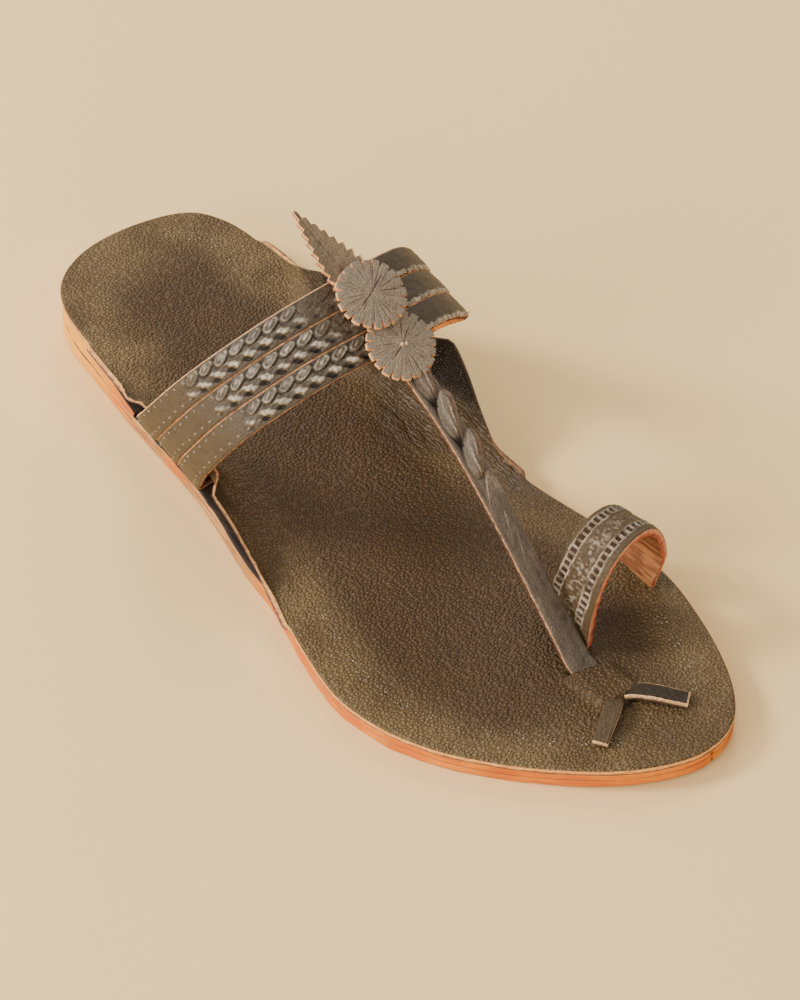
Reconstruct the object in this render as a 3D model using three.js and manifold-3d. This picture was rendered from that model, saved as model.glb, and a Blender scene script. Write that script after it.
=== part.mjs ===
// A kolhapuri sandal for the right foot, in millimetres.
// While it is drawn, +Y runs from heel to toe, +X to the outer (lateral) side and +Z up, with the
// floor at z = 0 and the back of the heel at y = 0. At the end the whole shoe is moved so that the
// middle of its footprint is at the origin.
import * as THREE from "three";
import { mergeVertices } from "three/addons/utils/BufferGeometryUtils.js";
import Module from "manifold-3d";

const wasm = await Module();
wasm.setup();

// ---------------------------------------------------------------- driving dimensions
const LENGTH = 262;            // heel to toe
const GAP = 0.3;               // air between two pieces that meet
const OUTSOLE = 2.5;           // leather thicknesses
const MIDSOLE = 2.2;
const BED = 2;
const STRAP = 2.2;
const THONG = 1.6;
const LOOP = 2.4;
const LOOP_TUCK_TO = 12;       // height over which its medial foot draws in
const ARCH_RISE = 0.7;         // how far the waist of the sole clears the floor
const ARCH_FROM = 62;
const ARCH_TO = 122;
const TOE_SPRING = 1.2;        // how far the toe tip clears the floor
const SPRING_FROM = 228;
const BAND_STRAPS = 3;
const BAND_SLIT = 0.4;         // between neighbouring cross straps
const TUCK = 10;               // how far a cross strap runs in under the footbed
const WALL_FOOT = 8;           // heights between which the sides lean out to the instep's width
const WALL_TOP = 42;
const INSTEP = { lateral: 43, medial: -48 };
const EAR_INSET = 3.2;         // footbed ears stand this far inside the straps' outer face
const EAR_INSET_FRONT = -2.2;  // they flare outside it in front of the straps
const EAR_INSET_REAR = 0;      // and come level with it behind them
const EAR_FLARE = [2.6, 9];    // how far from the straps they start and finish doing so
const EAR_FULL = 6;            // an ear this high stands fully upright
const BUMP = { x: -4.6, halfWidth: 5.4, from: 219, to: 231, height: 2.1, run: 2.6 };
const LIFT = { taperFrom: 31, end: 56.5, endThick: 0.9 };    // the heel lift's skived front
const EASE = { midsole: 0.1, lift: 0.2 };    // how far these layers stand inside the outline
const ROSETTE = { radius: 10.6, thick: 1.8, teeth: 20, tooth: 1, perTooth: 4 };
const LEAF = {
  thick: 1.6, length: 34.6, root: 8, halfWidth: 7.6, neck: 4.6, tip: 0.5, teeth: 9, tooth: 1.5, lead: 0.8,
};
const RIVET = { head: 3, rim: 0.4, dome: 1.2, shank: 1.2, hole: 1.55, gap: 0.6, y: 99, z: 29 };

const table = (names, rows) => rows.map((row) =>
  Object.fromEntries(names.split(" ").map((name, i) => [name, row[i]])));

// The sole's outline: how far its two sides reach at each distance from the heel.
const OUTLINE = table("y lateral medial", [
  [0, -6, -6],
  [2, 5.7, -21.5],
  [8, 14.5, -35.4],
  [18, 19.8, -41.4],
  [35, 23.3, -43.5],
  [60, 27.4, -43.1],
  [80, 30.1, -41.9],
  [100, 33.6, -41.1],
  [120, 39.2, -41],
  [140, 43.3, -41.4],
  [160, 49.6, -42.3],
  [180, 53.8, -45],
  [195, 52.2, -46.9],
  [210, 46.8, -46],
  [225, 37.5, -42.2],
  [240, 25, -36.4],
  [252, 12.3, -29.3],
  [259, 0.9, -22],
  [262, -11, -11],
]);

// The upper face of the footbed, from the raised heel down to the forefoot.
const LEVEL = table("y top", [
  [0, 15.3],
  [32, 15.3],
  [50, 14.2],
  [65, 12.7],
  [80, 11.6],
  [95, 10.7],
  [110, 9.3],
  [125, 8.1],
  [140, 7.4],
  [160, 7.3],
  [262, 7.3],
]);

// The upper rim of the two ears into which the footbed turns up at the waist.
const EARS = {
  lateral: table("y rim", [
    [40, 15.3], [50, 15.5], [60, 18], [72, 24], [86, 33], [98, 35.5],
    [106, 29.5], [113, 26], [120, 22], [127, 16], [134, 10.8], [142, 8.4], [152, 7.1],
  ]),
  medial: table("y rim", [
    [36, 15.3], [44, 15.8], [54, 19], [63, 24], [76, 31], [90, 35.5], [105, 35.5],
    [116, 32], [124, 25.5], [131, 18], [139, 11], [147, 8], [156, 7.1],
  ]),
};

// The outer face of the band of cross straps, station by station over the instep, from the lateral
// side to the medial side: its rear edge and its front edge.
const BAND = table("rearX rearY rearZ frontX frontY frontZ", [
  [26.9, 60, 9.2, 32.9, 94, 9.2],
  [35.6, 70, 22, 38.3, 102, 20],
  [41.7, 81, 37, 41.9, 109.5, 33],
  [36.6, 97.4, 62.4, 36.8, 122.5, 55.3],
  [16.1, 109.5, 80, 16, 132.5, 69.7],
  [-6.2, 113.6, 84.2, -6, 136.2, 71.8],
  [-28.6, 111.6, 79.2, -28.6, 134, 67],
  [-43.8, 101.2, 59.5, -43.8, 126.4, 52.4],
  [-47.2, 80, 37, -46.6, 111, 34],
  [-45.4, 68.5, 22, -44.5, 101.5, 21],
  [-43.2, 57.5, 9.2, -41.5, 90, 9.2],
]);

// The upper face of the toe strap, from under the rosettes down to the footbed, through its rear
// slit, and under the raised bar of leather in front of it.
const TOE_STRAP = table("x y z width", [
  [-6.8, 117, 84.1, 8.6],
  [-6.8, 126, 79.1, 8.6],
  [-6.8, 134, 74.7, 8.2],
  [-6.9, 142, 70.1, 7.8],
  [-6.7, 162, 57.4, 7.4],
  [-6, 182, 40.6, 7.2],
  [-5.3, 200, 23.2, 7.6],
  [-4.9, 211, 12.4, 8],
  [-4.6, 215.5, 8.4, 8.2],
  [-4.6, 219, 7.0, 8.2],
  [-4.6, 224, 6.9, 8.2],
  [-4.6, 230, 6.9, 8.2],
]);

// The two ends of the toe strap, split apart where it comes out again.
const TAILS = {
  lateral: table("x y z width", [
    [-2.9, 227, 6.9, 4], [-2.6, 230.5, 7.4, 4.2], [-1, 233.4, 10.2, 4.6],
    [3.4, 236.2, 10.6, 4.8], [8.2, 238.9, 10, 4.6], [12.2, 241.2, 9.6, 4.4],
  ]),
  medial: table("x y z width", [
    [-6.3, 227, 6.9, 4], [-6.7, 230.8, 7.4, 4.2], [-8, 234, 10.2, 4.8],
    [-10.6, 237.6, 10.8, 5], [-13.9, 242, 10.4, 5], [-17.2, 246.4, 9.8, 4.8],
  ]),
};

// The toe loop's outer face: the arch at its front edge and the arch at its rear edge. "lean" and
// "skew" move a point forward by its height and by its distance across, and "tuck" draws the medial
// foot in.
const LOOP_EDGES = table("x halfWidth top y lean skew tuck power", [
  [-27.6, 18, 39.6, 210.8, 0.03, 0.12, 4, 2.25],
  [-28, 17.1, 37.3, 192.6, 0.1, 0.06, 2.4, 2.05],
]);

// The three plates of the ornament: the middle of each one's underside, how steeply it leans back
// from the toes, and how far it is turned in its own plane.
const PLATES = {
  rosetteRear: { x: -7.8, y: 124.4, z: 83.1, slope: -0.53, turned: 0 },
  rosetteFront: { x: -7.2, y: 137.4, z: 73.35, slope: -0.5575, turned: 0 },
  leaf: { x: -7.4, y: 125.8, z: 79.95, slope: -0.545, turned: 0.09 },
};

// How many slices the long pieces are drawn with.
const SLICES = { sole: 46, bed: 40, strap: 52, toeStrap: 44, tail: 12, arch: 26, turned: 16 };

// ---------------------------------------------------------------- small maths
const lerp = (a, b, t) => a + (b - a) * t;
const clamp01 = (t) => Math.min(1, Math.max(0, t));
const smooth = (t) => clamp01(t) ** 2 * (3 - 2 * clamp01(t));
const rise = (value, from, to) => smooth((value - from) / (to - from));

// A smooth function through one column of a table against another.
function through(rows, column, against = (row) => row.y) {
  const at = rows.map(against);
  const value = rows.map((row) => row[column]);
  const chord = at.slice(1).map((a, i) => (value[i + 1] - value[i]) / (a - at[i]));
  const slope = at.map((a, i) => {
    if (i === 0) return chord[0];
    if (i === at.length - 1) return chord[i - 1];
    const before = a - at[i - 1];
    const after = at[i + 1] - a;
    return (chord[i - 1] * after + chord[i] * before) / (before + after);
  });
  return (a) => {
    let i = 0;
    while (i < at.length - 2 && a > at[i + 1]) i += 1;
    const span = at[i + 1] - at[i];
    const t = clamp01((a - at[i]) / span);
    return value[i] * (1 + 2 * t) * (1 - t) ** 2 + value[i + 1] * t * t * (3 - 2 * t)
      + span * (slope[i] * t * (1 - t) ** 2 - slope[i + 1] * t * t * (1 - t));
  };
}

// ---------------------------------------------------------------- the form of the shoe
// Near the heel and the toe the outline turns across the shoe, so it is smooth against this angle,
// which runs from 0 at the heel to pi at the toe, and not against the distance itself.
const turn = (y) => Math.acos(1 - 2 * Math.min(1, Math.max(0, y / LENGTH)));
const SIDE = {
  lateral: { sign: 1, edge: through(OUTLINE, "lateral", (row) => turn(row.y)) },
  medial: { sign: -1, edge: through(OUTLINE, "medial", (row) => turn(row.y)) },
};
const edge = (side, y) => SIDE[side].edge(turn(y));
const level = through(LEVEL, "top");
const rim = { lateral: through(EARS.lateral, "rim"), medial: through(EARS.medial, "rim") };

const archRise = (y) => ARCH_RISE * rise(y, ARCH_FROM, (ARCH_FROM + ARCH_TO) / 2)
  * (1 - rise(y, (ARCH_FROM + ARCH_TO) / 2, ARCH_TO));
const toeSpring = (y) => TOE_SPRING * Math.max(0, (y - SPRING_FROM) / (LENGTH - SPRING_FROM)) ** 2;
const ground = (y) => archRise(y) + toeSpring(y);
const midsoleTop = (y) => ground(y) + OUTSOLE + GAP + MIDSOLE;

// The raised bar over the toe strap's passage.
function bump(x, y) {
  const across = 1 - rise(Math.abs(x - BUMP.x), BUMP.halfWidth, BUMP.halfWidth + BUMP.run);
  return BUMP.height * across * rise(y, BUMP.from - BUMP.run, BUMP.from)
    * (1 - rise(y, BUMP.to, BUMP.to + BUMP.run));
}
const bedTop = (y) => level(y) + toeSpring(y);

// The outer face of the straps at the side of the shoe, which leans out from the sole's edge.
function wall(side, y, z) {
  const t = clamp01((z - WALL_FOOT) / (WALL_TOP - WALL_FOOT));
  return lerp(edge(side, y), INSTEP[side], 1 - (1 - t) ** 1.3);
}

// How far an ear stands inside the straps' outer face. Where the band crosses at that height it
// makes room for the straps; in front of them and behind them it leans out again.
function earInset(side, y, z) {
  const rows = side === "lateral" ? BAND : [...BAND].reverse();
  const [first, , second] = rows;
  const climb = (z - first.rearZ) / (second.rearZ - first.rearZ);
  const inFront = rise(y - lerp(first.frontY, second.frontY, climb), ...EAR_FLARE);
  const behind = rise(lerp(first.rearY, second.rearY, climb) - y, ...EAR_FLARE);
  return EAR_INSET + (EAR_INSET_FRONT - EAR_INSET) * inFront + (EAR_INSET_REAR - EAR_INSET) * behind;
}

// Half of the footbed's upper face at one station, from the flat to the ear's rim.
function earPoints(side, y) {
  const { sign } = SIDE[side];
  const base = bedTop(y);
  const top = Math.max(base, rim[side](y));
  const height = top - base;
  const isEar = smooth(height / EAR_FULL);
  const root = edge(side, y) - sign * isEar * (Math.max(0, earInset(side, y, base)) + BED);
  const rimX = lerp(edge(side, y), wall(side, y, top) - sign * (earInset(side, y, top) + BED), isEar);
  const width = edge("lateral", y) - edge("medial", y);
  const run = Math.min(9, 2.5 + 0.5 * height, 0.2 * width);
  return [0, 0.3, 0.55, 0.8, 1].map((t) => {
    const x = (1 - t) ** 2 * (root - sign * run) + 2 * t * (1 - t) * root + t * t * rimX;
    return new THREE.Vector3(x, y, base + t * t * height);
  });
}

// ---------------------------------------------------------------- making solids
function geometryOf(positions, triangles) {
  const geometry = new THREE.BufferGeometry();
  geometry.setAttribute("position", new THREE.Float32BufferAttribute(positions, 3));
  geometry.setIndex(triangles);
  return geometry;
}

// Joins a row of closed rings, each with the same number of points, and caps both ends.
function loft(rings) {
  const count = rings[0].length;
  const positions = rings.flat().flatMap((point) => [point.x, point.y, point.z]);
  const triangles = [];
  for (let r = 0; r < rings.length - 1; r += 1) {
    for (let i = 0; i < count; i += 1) {
      const a = r * count + i;
      const b = r * count + (i + 1) % count;
      triangles.push(a, a + count, b, b, a + count, b + count);
    }
  }
  const last = (rings.length - 1) * count;
  const half = count / 2;
  for (let i = 0; i < half - 1; i += 1) {
    const j = count - 1 - i;
    triangles.push(i, i + 1, j, j, i + 1, j - 1);
    triangles.push(last + i, last + j, last + i + 1, last + j, last + j - 1, last + i + 1);
  }
  return solidOf(geometryOf(positions, triangles));
}

// The solid of a closed geometry, turned the right way out.
function solidOf(geometry) {
  const bare = geometry.clone();
  bare.deleteAttribute("normal");
  bare.deleteAttribute("uv");
  const merged = mergeVertices(bare, 1e-4);
  const vertProperties = new Float32Array(merged.attributes.position.array);
  const corners = Array.from(merged.index.array);
  const point = (i) => new THREE.Vector3().fromArray(vertProperties, 3 * corners[i]);
  const kept = [];
  let volume = 0;
  for (let i = 0; i < corners.length; i += 3) {
    const [a, b, c] = [corners[i], corners[i + 1], corners[i + 2]];
    if (a === b || b === c || c === a) continue;
    kept.push(a, b, c);
    volume += point(i).dot(point(i + 1).cross(point(i + 2)));
  }
  const triVerts = new Uint32Array(kept);
  if (volume < 0) triVerts.reverse();
  return new wasm.Manifold(new wasm.Mesh({ numProp: 3, vertProperties, triVerts }));
}

const joined = (solids) => solids.reduce((sum, next) => sum.add(next));
const cut = (solid, tools) => tools.reduce((rest, tool) => rest.subtract(tool), solid);

function piece(name, solid, material) {
  const mesh = solid.getMesh();
  const positions = [];
  for (let i = 0; i < mesh.vertProperties.length; i += mesh.numProp) {
    positions.push(...mesh.vertProperties.slice(i, i + 3));
  }
  const geometry = geometryOf(positions, Array.from(mesh.triVerts));
  geometry.computeVertexNormals();
  const made = new THREE.Mesh(geometry, material);
  made.name = name;
  return made;
}

// Stations along the shoe: close together round the heel and the toe.
function stations(count, from = 0, to = LENGTH) {
  const end = 0.012;
  const list = Array.from({ length: count + 1 }, (unused, i) =>
    LENGTH / 2 * (1 - Math.cos(Math.PI * lerp(end, 1 - end, i / count))));
  return list.filter((y) => y >= from && y < to);
}

// One layer of the sole, between two heights that depend on the distance from the heel.
function layer(rows, under, over, inset = 0) {
  const across = [0, 0.06, 0.3, 0.7, 0.94, 1];
  return loft(rows.map((y) => {
    const from = edge("medial", y) + inset;
    const to = edge("lateral", y) - inset;
    const upper = across.map((t) => new THREE.Vector3(lerp(from, to, t), y, over(y)));
    const lower = across.map((t) => new THREE.Vector3(lerp(from, to, t), y, under(y))).reverse();
    return [...upper, ...lower];
  }));
}

// A flat strap whose upper face runs through the rows of a table, "grown" on all sides if wanted.
function strap(rows, steps, thick, grown = 0) {
  const centre = new THREE.CatmullRomCurve3(rows.map((row) => new THREE.Vector3(row.x, row.y, row.z)));
  const width = through(rows.map((row, i) => ({ y: i / (rows.length - 1), width: row.width })), "width");
  const up = new THREE.Vector3(0, 0, 1);
  return loft(Array.from({ length: steps + 1 }, (unused, i) => {
    const t = i / steps;
    const along = centre.getTangent(t);
    const middle = centre.getPoint(t).addScaledVector(along, grown * (i === 0 ? -1 : i === steps ? 1 : 0));
    const side = along.clone().cross(up).normalize();
    const normal = side.clone().cross(along).normalize();
    const half = width(t) / 2 + grown;
    const corner = (s, n) => middle.clone().addScaledVector(side, s).addScaledVector(normal, n);
    return [corner(-half, grown), corner(0, grown), corner(half, grown),
      corner(half, -thick - grown), corner(0, -thick - grown), corner(-half, -thick - grown)];
  }));
}

// ---------------------------------------------------------------- the sole
const outsole = layer(stations(SLICES.sole), ground, (y) => ground(y) + OUTSOLE);

const midsoleBottom = (y) => ground(y) + OUTSOLE + GAP;
const midsoleBlank = layer(stations(SLICES.sole), midsoleBottom, midsoleTop, EASE.midsole);

// The heel lift fills the space under the raised heel and is skived away towards the waist.
const liftBottom = (y) => midsoleTop(y) + GAP;
function liftTop(y) {
  const full = bedTop(y) - BED - GAP;
  const skived = Math.max(0, (y - LIFT.taperFrom) / (LIFT.end - LIFT.taperFrom));
  return lerp(full, liftBottom(y) + LIFT.endThick, skived);
}
const liftRows = [...stations(SLICES.sole, 0, LIFT.end - 2), LIFT.end];
const heelLift = layer(liftRows, liftBottom, liftTop, EASE.lift);

// ---------------------------------------------------------------- the straps
// The band of cross straps: a point on its outer face, u from lateral to medial, v from its rear
// edge to its front edge, with the ends turned in under the footbed.
function bandCurve(where) {
  const points = BAND.map((row) => new THREE.Vector3(row[`${where}X`], row[`${where}Y`], row[`${where}Z`]));
  const foot = (point, sign) => {
    const floor = midsoleTop(point.y) + 2 * GAP;
    const at = (inward, z) => new THREE.Vector3(point.x - sign * inward, point.y - 0.6, z);
    return [at(0.6, floor + 1.3), at(1.8, floor + 0.2), at(4, floor), at(TUCK, floor)];
  };
  return new THREE.CatmullRomCurve3([
    ...foot(points[0], 1).reverse(), ...points, ...foot(points[points.length - 1], -1),
  ], false, "centripetal");
}
const bandRear = bandCurve("rear");
const bandFront = bandCurve("front");
const bandPoint = (u, v) => bandRear.getPoint(u).lerp(bandFront.getPoint(u), v);
function bandNormal(u, v) {
  const du = 0.004;
  const along = bandPoint(Math.min(1, u + du), v).sub(bandPoint(Math.max(0, u - du), v));
  const across = bandPoint(u, v + 0.1).sub(bandPoint(u, v - 0.1));
  return across.cross(along).normalize();
}

function crossStrap(index) {
  const slit = BAND_SLIT / bandRear.getPoint(0.5).distanceTo(bandFront.getPoint(0.5)) / 2;
  const from = index / BAND_STRAPS + (index > 0 ? slit : 0);
  const to = (index + 1) / BAND_STRAPS - (index < BAND_STRAPS - 1 ? slit : 0);
  return loft(Array.from({ length: SLICES.strap + 1 }, (unused, i) => {
    const u = i / SLICES.strap;
    const at = (v, depth) => bandPoint(u, v).addScaledVector(bandNormal(u, (from + to) / 2), depth);
    const middle = (from + to) / 2;
    return [at(from, 0), at(middle, 0.3), at(to, 0), at(to, -STRAP), at(middle, -STRAP), at(from, -STRAP)];
  }));
}

const toeStrap = (grown) => strap(TOE_STRAP, SLICES.toeStrap, THONG, grown);
const tail = (side, grown) => strap(TAILS[side], SLICES.tail, THONG, grown);
const upper = joined([
  ...Array.from({ length: BAND_STRAPS }, (unused, i) => crossStrap(i)),
  toeStrap(0), tail("lateral", 0), tail("medial", 0),
]);

// The toe loop: an arch of leather whose two feet go down through the footbed and the midsole.
function toeLoop(grown) {
  const foot = OUTSOLE + 2 * GAP;
  const springZ = 7;
  const point = (row, angle, inward) => {
    const c = Math.cos(angle);
    const s = Math.sin(angle);
    const out = (row.halfWidth - inward) * Math.sign(c) * Math.abs(c) ** (2 / row.power);
    const up = (row.top - inward - springZ) * Math.abs(s) ** (2 / row.power);
    const low = 1 - rise(up, 0, LOOP_TUCK_TO);
    const x = row.x + out + (c < 0 ? row.tuck * low : 0);
    return new THREE.Vector3(x, row.y + row.lean * up + row.skew * out, springZ + up);
  };
  const [front, rear] = LOOP_EDGES;
  const ring = (angle, drop) => {
    const at = (inward, t, extra) => {
      const p = point(rear, angle, inward).lerp(point(front, angle, inward), t);
      return p.add(new THREE.Vector3(0, extra, drop));
    };
    return [at(-grown, 1, grown), at(-grown, 0.5, 0), at(-grown, 0, -grown),
      at(LOOP + grown, 0, -grown), at(LOOP + grown, 0.5, 0), at(LOOP + grown, 1, grown)];
  };
  const arch = Array.from({ length: SLICES.arch + 1 }, (unused, i) =>
    ring(Math.PI * i / SLICES.arch, 0));
  const down = foot - springZ - grown;
  return loft([ring(0, down), ...arch, ring(Math.PI, down)]);
}

// ---------------------------------------------------------------- the footbed
// Its stations are closer where the ears rise and over the toe strap's passage.
function bedStations() {
  const waist = Array.from({ length: 31 }, (unused, i) => 38 + 4 * i);
  const passage = [BUMP.from - BUMP.run, BUMP.from, (BUMP.from + BUMP.to) / 2, BUMP.to, BUMP.to + BUMP.run];
  const special = [...waist, ...passage];
  const plain = stations(SLICES.bed).filter((y) => special.every((s) => Math.abs(s - y) > 1.2)
    && (y < waist[0] || y > waist[waist.length - 1]));
  return [...plain, ...special].sort((a, b) => a - b);
}

function footbedBlank() {
  const bumpColumns = [-1, -0.55, 0.55, 1].map((side) =>
    BUMP.x + side * (BUMP.halfWidth + BUMP.run * (Math.abs(side) === 1 ? 1 : 0)));
  return loft(bedStations().map((y) => {
    const medial = earPoints("medial", y).reverse();
    const lateral = earPoints("lateral", y);
    const from = medial[medial.length - 1].x;
    const to = lateral[0].x;
    const middle = bumpColumns.map((x, i) => {
      const even = lerp(from, to, (i + 1) / (bumpColumns.length + 1));
      const keep = rise(to - from, 50, 70) * rise(y, 160, 205) * (1 - rise(y, 236, 250));
      const at = lerp(even, x, keep);
      return new THREE.Vector3(at, y, bedTop(y) + bump(at, y));
    });
    const upperFace = [...medial, ...middle, ...lateral];
    const lowerFace = upperFace.map((point, i) => {
      const before = upperFace[Math.max(0, i - 1)];
      const after = upperFace[Math.min(upperFace.length - 1, i + 1)];
      const tangent = after.clone().sub(before).setY(0).normalize();
      const isSide = i < medial.length || i >= medial.length + middle.length;
      const down = isSide ? new THREE.Vector3(tangent.z, 0, -tangent.x) : new THREE.Vector3(0, 0, -1);
      return point.clone().addScaledVector(down, BED);
    });
    return [...upperFace, ...lowerFace.reverse()];
  }));
}

// A rivet's place on the inner face of an ear, and the way its head faces.
function rivetSeat(side) {
  const points = earPoints(side, RIVET.y);
  const [low, high] = [points[points.length - 2], points[points.length - 1]];
  const t = (RIVET.z - low.z) / (high.z - low.z);
  const seat = low.clone().lerp(high, t);
  const slope = high.clone().sub(low).normalize();
  return { seat, facing: new THREE.Vector3(-SIDE[side].sign * slope.z, 0, SIDE[side].sign * slope.x) };
}

function turned(profile, side) {
  const { seat, facing } = rivetSeat(side);
  const outline = profile.map(([r, h]) => new THREE.Vector2(r, h));
  const geometry = new THREE.LatheGeometry(outline, SLICES.turned);
  const tilt = new THREE.Quaternion().setFromUnitVectors(new THREE.Vector3(0, 1, 0), facing);
  geometry.applyQuaternion(tilt);
  geometry.translate(seat.x, seat.y, seat.z);
  return solidOf(geometry);
}

const rivet = (side) => turned([
  [0, -BED], [RIVET.shank, -BED], [RIVET.shank, RIVET.gap], [RIVET.head, RIVET.gap],
  [RIVET.head, RIVET.gap + RIVET.rim], [0.7 * RIVET.head, RIVET.gap + 0.85 * RIVET.dome],
  [0, RIVET.gap + RIVET.dome],
], side);
const rivetHole = (side) => turned([
  [0, -2 * BED], [RIVET.hole, -2 * BED], [RIVET.hole, BED], [0, BED],
], side);

const footbed = cut(footbedBlank(), [
  toeStrap(GAP), tail("lateral", GAP), tail("medial", GAP), toeLoop(GAP),
  rivetHole("lateral"), rivetHole("medial"),
]);
const midsole = cut(midsoleBlank, [toeLoop(GAP)]);

// ---------------------------------------------------------------- the ornament on the instep
// A flat plate cut to an outline and set in its place.
function plate(outline, thick, place) {
  const shape = new THREE.Shape(outline.map(([x, y]) => new THREE.Vector2(x, y)));
  const geometry = new THREE.ExtrudeGeometry(shape, { depth: thick, bevelEnabled: false });
  geometry.rotateZ(place.turned);
  geometry.rotateX(Math.atan(place.slope));
  geometry.translate(place.x, place.y, place.z);
  return solidOf(geometry);
}

function rosetteOutline() {
  const count = ROSETTE.teeth * ROSETTE.perTooth;
  return Array.from({ length: count }, (unused, i) => {
    const angle = 2 * Math.PI * i / count;
    const radius = ROSETTE.radius - ROSETTE.tooth * (i % ROSETTE.perTooth === 0 ? 1 : 0);
    return [radius * Math.cos(angle), radius * Math.sin(angle)];
  });
}

// The leaf: widest a little above its root, with saw teeth that point towards its tip.
function leafOutline() {
  const halfWidth = (t) => LEAF.halfWidth * Math.sqrt(1 - 0.15 * (1 - t)) * (1 - t ** 1.5) + LEAF.tip;
  const away = (t) => -lerp(LEAF.root, LEAF.length, t);
  const flank = [];
  for (let i = 0; i < LEAF.teeth; i += 1) {
    const notch = i / LEAF.teeth;
    const point = (i + LEAF.lead) / LEAF.teeth;
    flank.push([halfWidth(notch) - LEAF.tooth * (1 - 0.5 * notch), away(notch)]);
    flank.push([halfWidth(point), away(point)]);
  }
  const otherFlank = flank.map(([x, y]) => [-x, y]).reverse();
  return [[-LEAF.neck, 0], [LEAF.neck, 0], ...flank, [0, -LEAF.length], ...otherFlank].reverse();
}

const rosetteRear = plate(rosetteOutline(), ROSETTE.thick, PLATES.rosetteRear);
const rosetteFront = plate(rosetteOutline(), ROSETTE.thick, PLATES.rosetteFront);
const leaf = plate(leafOutline(), LEAF.thick, PLATES.leaf);

// ---------------------------------------------------------------- the shoe
const leather = (color, roughness) => new THREE.MeshStandardMaterial({ color, roughness, metalness: 0 });
const oliveLeather = leather(0x4d4030, 0.55);
const strapLeather = leather(0x5a5348, 0.5);
const soleLeather = leather(0xc98250, 0.6);
const brass = new THREE.MeshStandardMaterial({ color: 0xc9a35a, roughness: 0.3, metalness: 1 });

const shoe = new THREE.Group();
shoe.add(
  piece("outsole", outsole, soleLeather),
  piece("midsole", midsole, soleLeather),
  piece("heel_lift", heelLift, soleLeather),
  piece("footbed", footbed, oliveLeather),
  piece("upper", upper, strapLeather),
  piece("toe_loop", toeLoop(0), strapLeather),
  piece("rosette_rear", rosetteRear, strapLeather),
  piece("rosette_front", rosetteFront, strapLeather),
  piece("leaf", leaf, strapLeather),
  piece("rivet_lateral", rivet("lateral"), brass),
  piece("rivet_medial", rivet("medial"), brass),
);

const box = new THREE.Box3().setFromObject(shoe);
const middle = box.getCenter(new THREE.Vector3());
shoe.position.set(-middle.x, -middle.y, -box.min.z);

const group = new THREE.Group();
group.add(shoe);

export default group;
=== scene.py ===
"""The looks of a kolhapuri sandal for the right foot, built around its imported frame.

Shapes are worked out in millimetres in the shoe's own frame: +Y from heel to toe, +X to the outer
(lateral) side, +Z up, the back of the heel at y = 0 and the floor at z = 0. `placed` moves them into
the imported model's frame, in metres.
"""

import math

import bpy
import numpy as np
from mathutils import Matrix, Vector


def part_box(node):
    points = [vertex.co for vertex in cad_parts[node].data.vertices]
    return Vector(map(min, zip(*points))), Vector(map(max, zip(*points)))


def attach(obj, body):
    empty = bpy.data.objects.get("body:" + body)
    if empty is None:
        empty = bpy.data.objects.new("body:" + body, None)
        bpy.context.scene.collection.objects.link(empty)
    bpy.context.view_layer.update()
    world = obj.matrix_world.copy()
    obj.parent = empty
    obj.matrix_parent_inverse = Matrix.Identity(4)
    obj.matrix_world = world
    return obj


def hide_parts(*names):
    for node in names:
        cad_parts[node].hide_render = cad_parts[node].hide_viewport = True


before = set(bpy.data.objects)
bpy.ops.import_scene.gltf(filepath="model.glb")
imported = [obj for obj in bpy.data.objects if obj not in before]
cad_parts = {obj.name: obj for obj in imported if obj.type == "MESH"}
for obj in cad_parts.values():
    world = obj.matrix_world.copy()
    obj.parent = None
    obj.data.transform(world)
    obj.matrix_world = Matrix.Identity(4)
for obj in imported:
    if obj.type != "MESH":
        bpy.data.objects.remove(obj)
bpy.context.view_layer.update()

# ------------------------------------------------------------------ driving dimensions, in millimetres
MM = 0.001
LENGTH = 262
GAP = 0.3
OUTSOLE, MIDSOLE, BED, STRAP, THONG, LOOP = 2.5, 2.2, 2.0, 2.2, 1.6, 2.4
ARCH_RISE, ARCH_FROM, ARCH_TO = 0.7, 62, 122
TOE_SPRING, SPRING_FROM = 1.2, 228
BAND_STRAPS = 3
STRAP_HALF = 4.15
TUCK = 10
# The heel lift: where its skive starts, its front end, its thickness there and the seam under it.
SKIVE_FROM, LIFT_END, SKIVE_THIN, SEAM = 31, 56.5, 0.9, 0.06
WALL_FOOT, WALL_TOP = 8, 42
INSTEP = {"lateral": 43, "medial": -48}
SIGN = {"lateral": 1, "medial": -1}
EAR_INSET, EAR_INSET_FRONT, EAR_INSET_REAR = 3.2, -2.2, 0
EAR_FLARE = (2.6, 9)
EAR_FULL = 6
BUMP_X, BUMP_HALF, BUMP_FROM, BUMP_TO, BUMP_HIGH, BUMP_RUN = -4.6, 5.4, 219, 231, 2.1, 2.6
ROSETTE_RADIUS, ROSETTE_THICK, ROSETTE_TEETH, ROSETTE_GROOVES = 10.6, 1.8, 20, 31
ROSETTES = {"rear": ((-7.8, 124.4, 83.1), -0.53), "front": ((-7.2, 137.4, 73.35), -0.5575)}
LEAF_AT, LEAF_SLOPE, LEAF_TURN = (-7.4, 125.8, 79.95), -0.545, 0.09
LEAF_LENGTH, LEAF_ROOT, LEAF_HALF, LEAF_THICK, LEAF_TEETH = 34.6, 8, 7.6, 1.6, 9
RIVET_HEAD, RIVET_DOME, RIVET_Y, RIVET_Z = 3, 1.3, 99, 29

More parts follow.
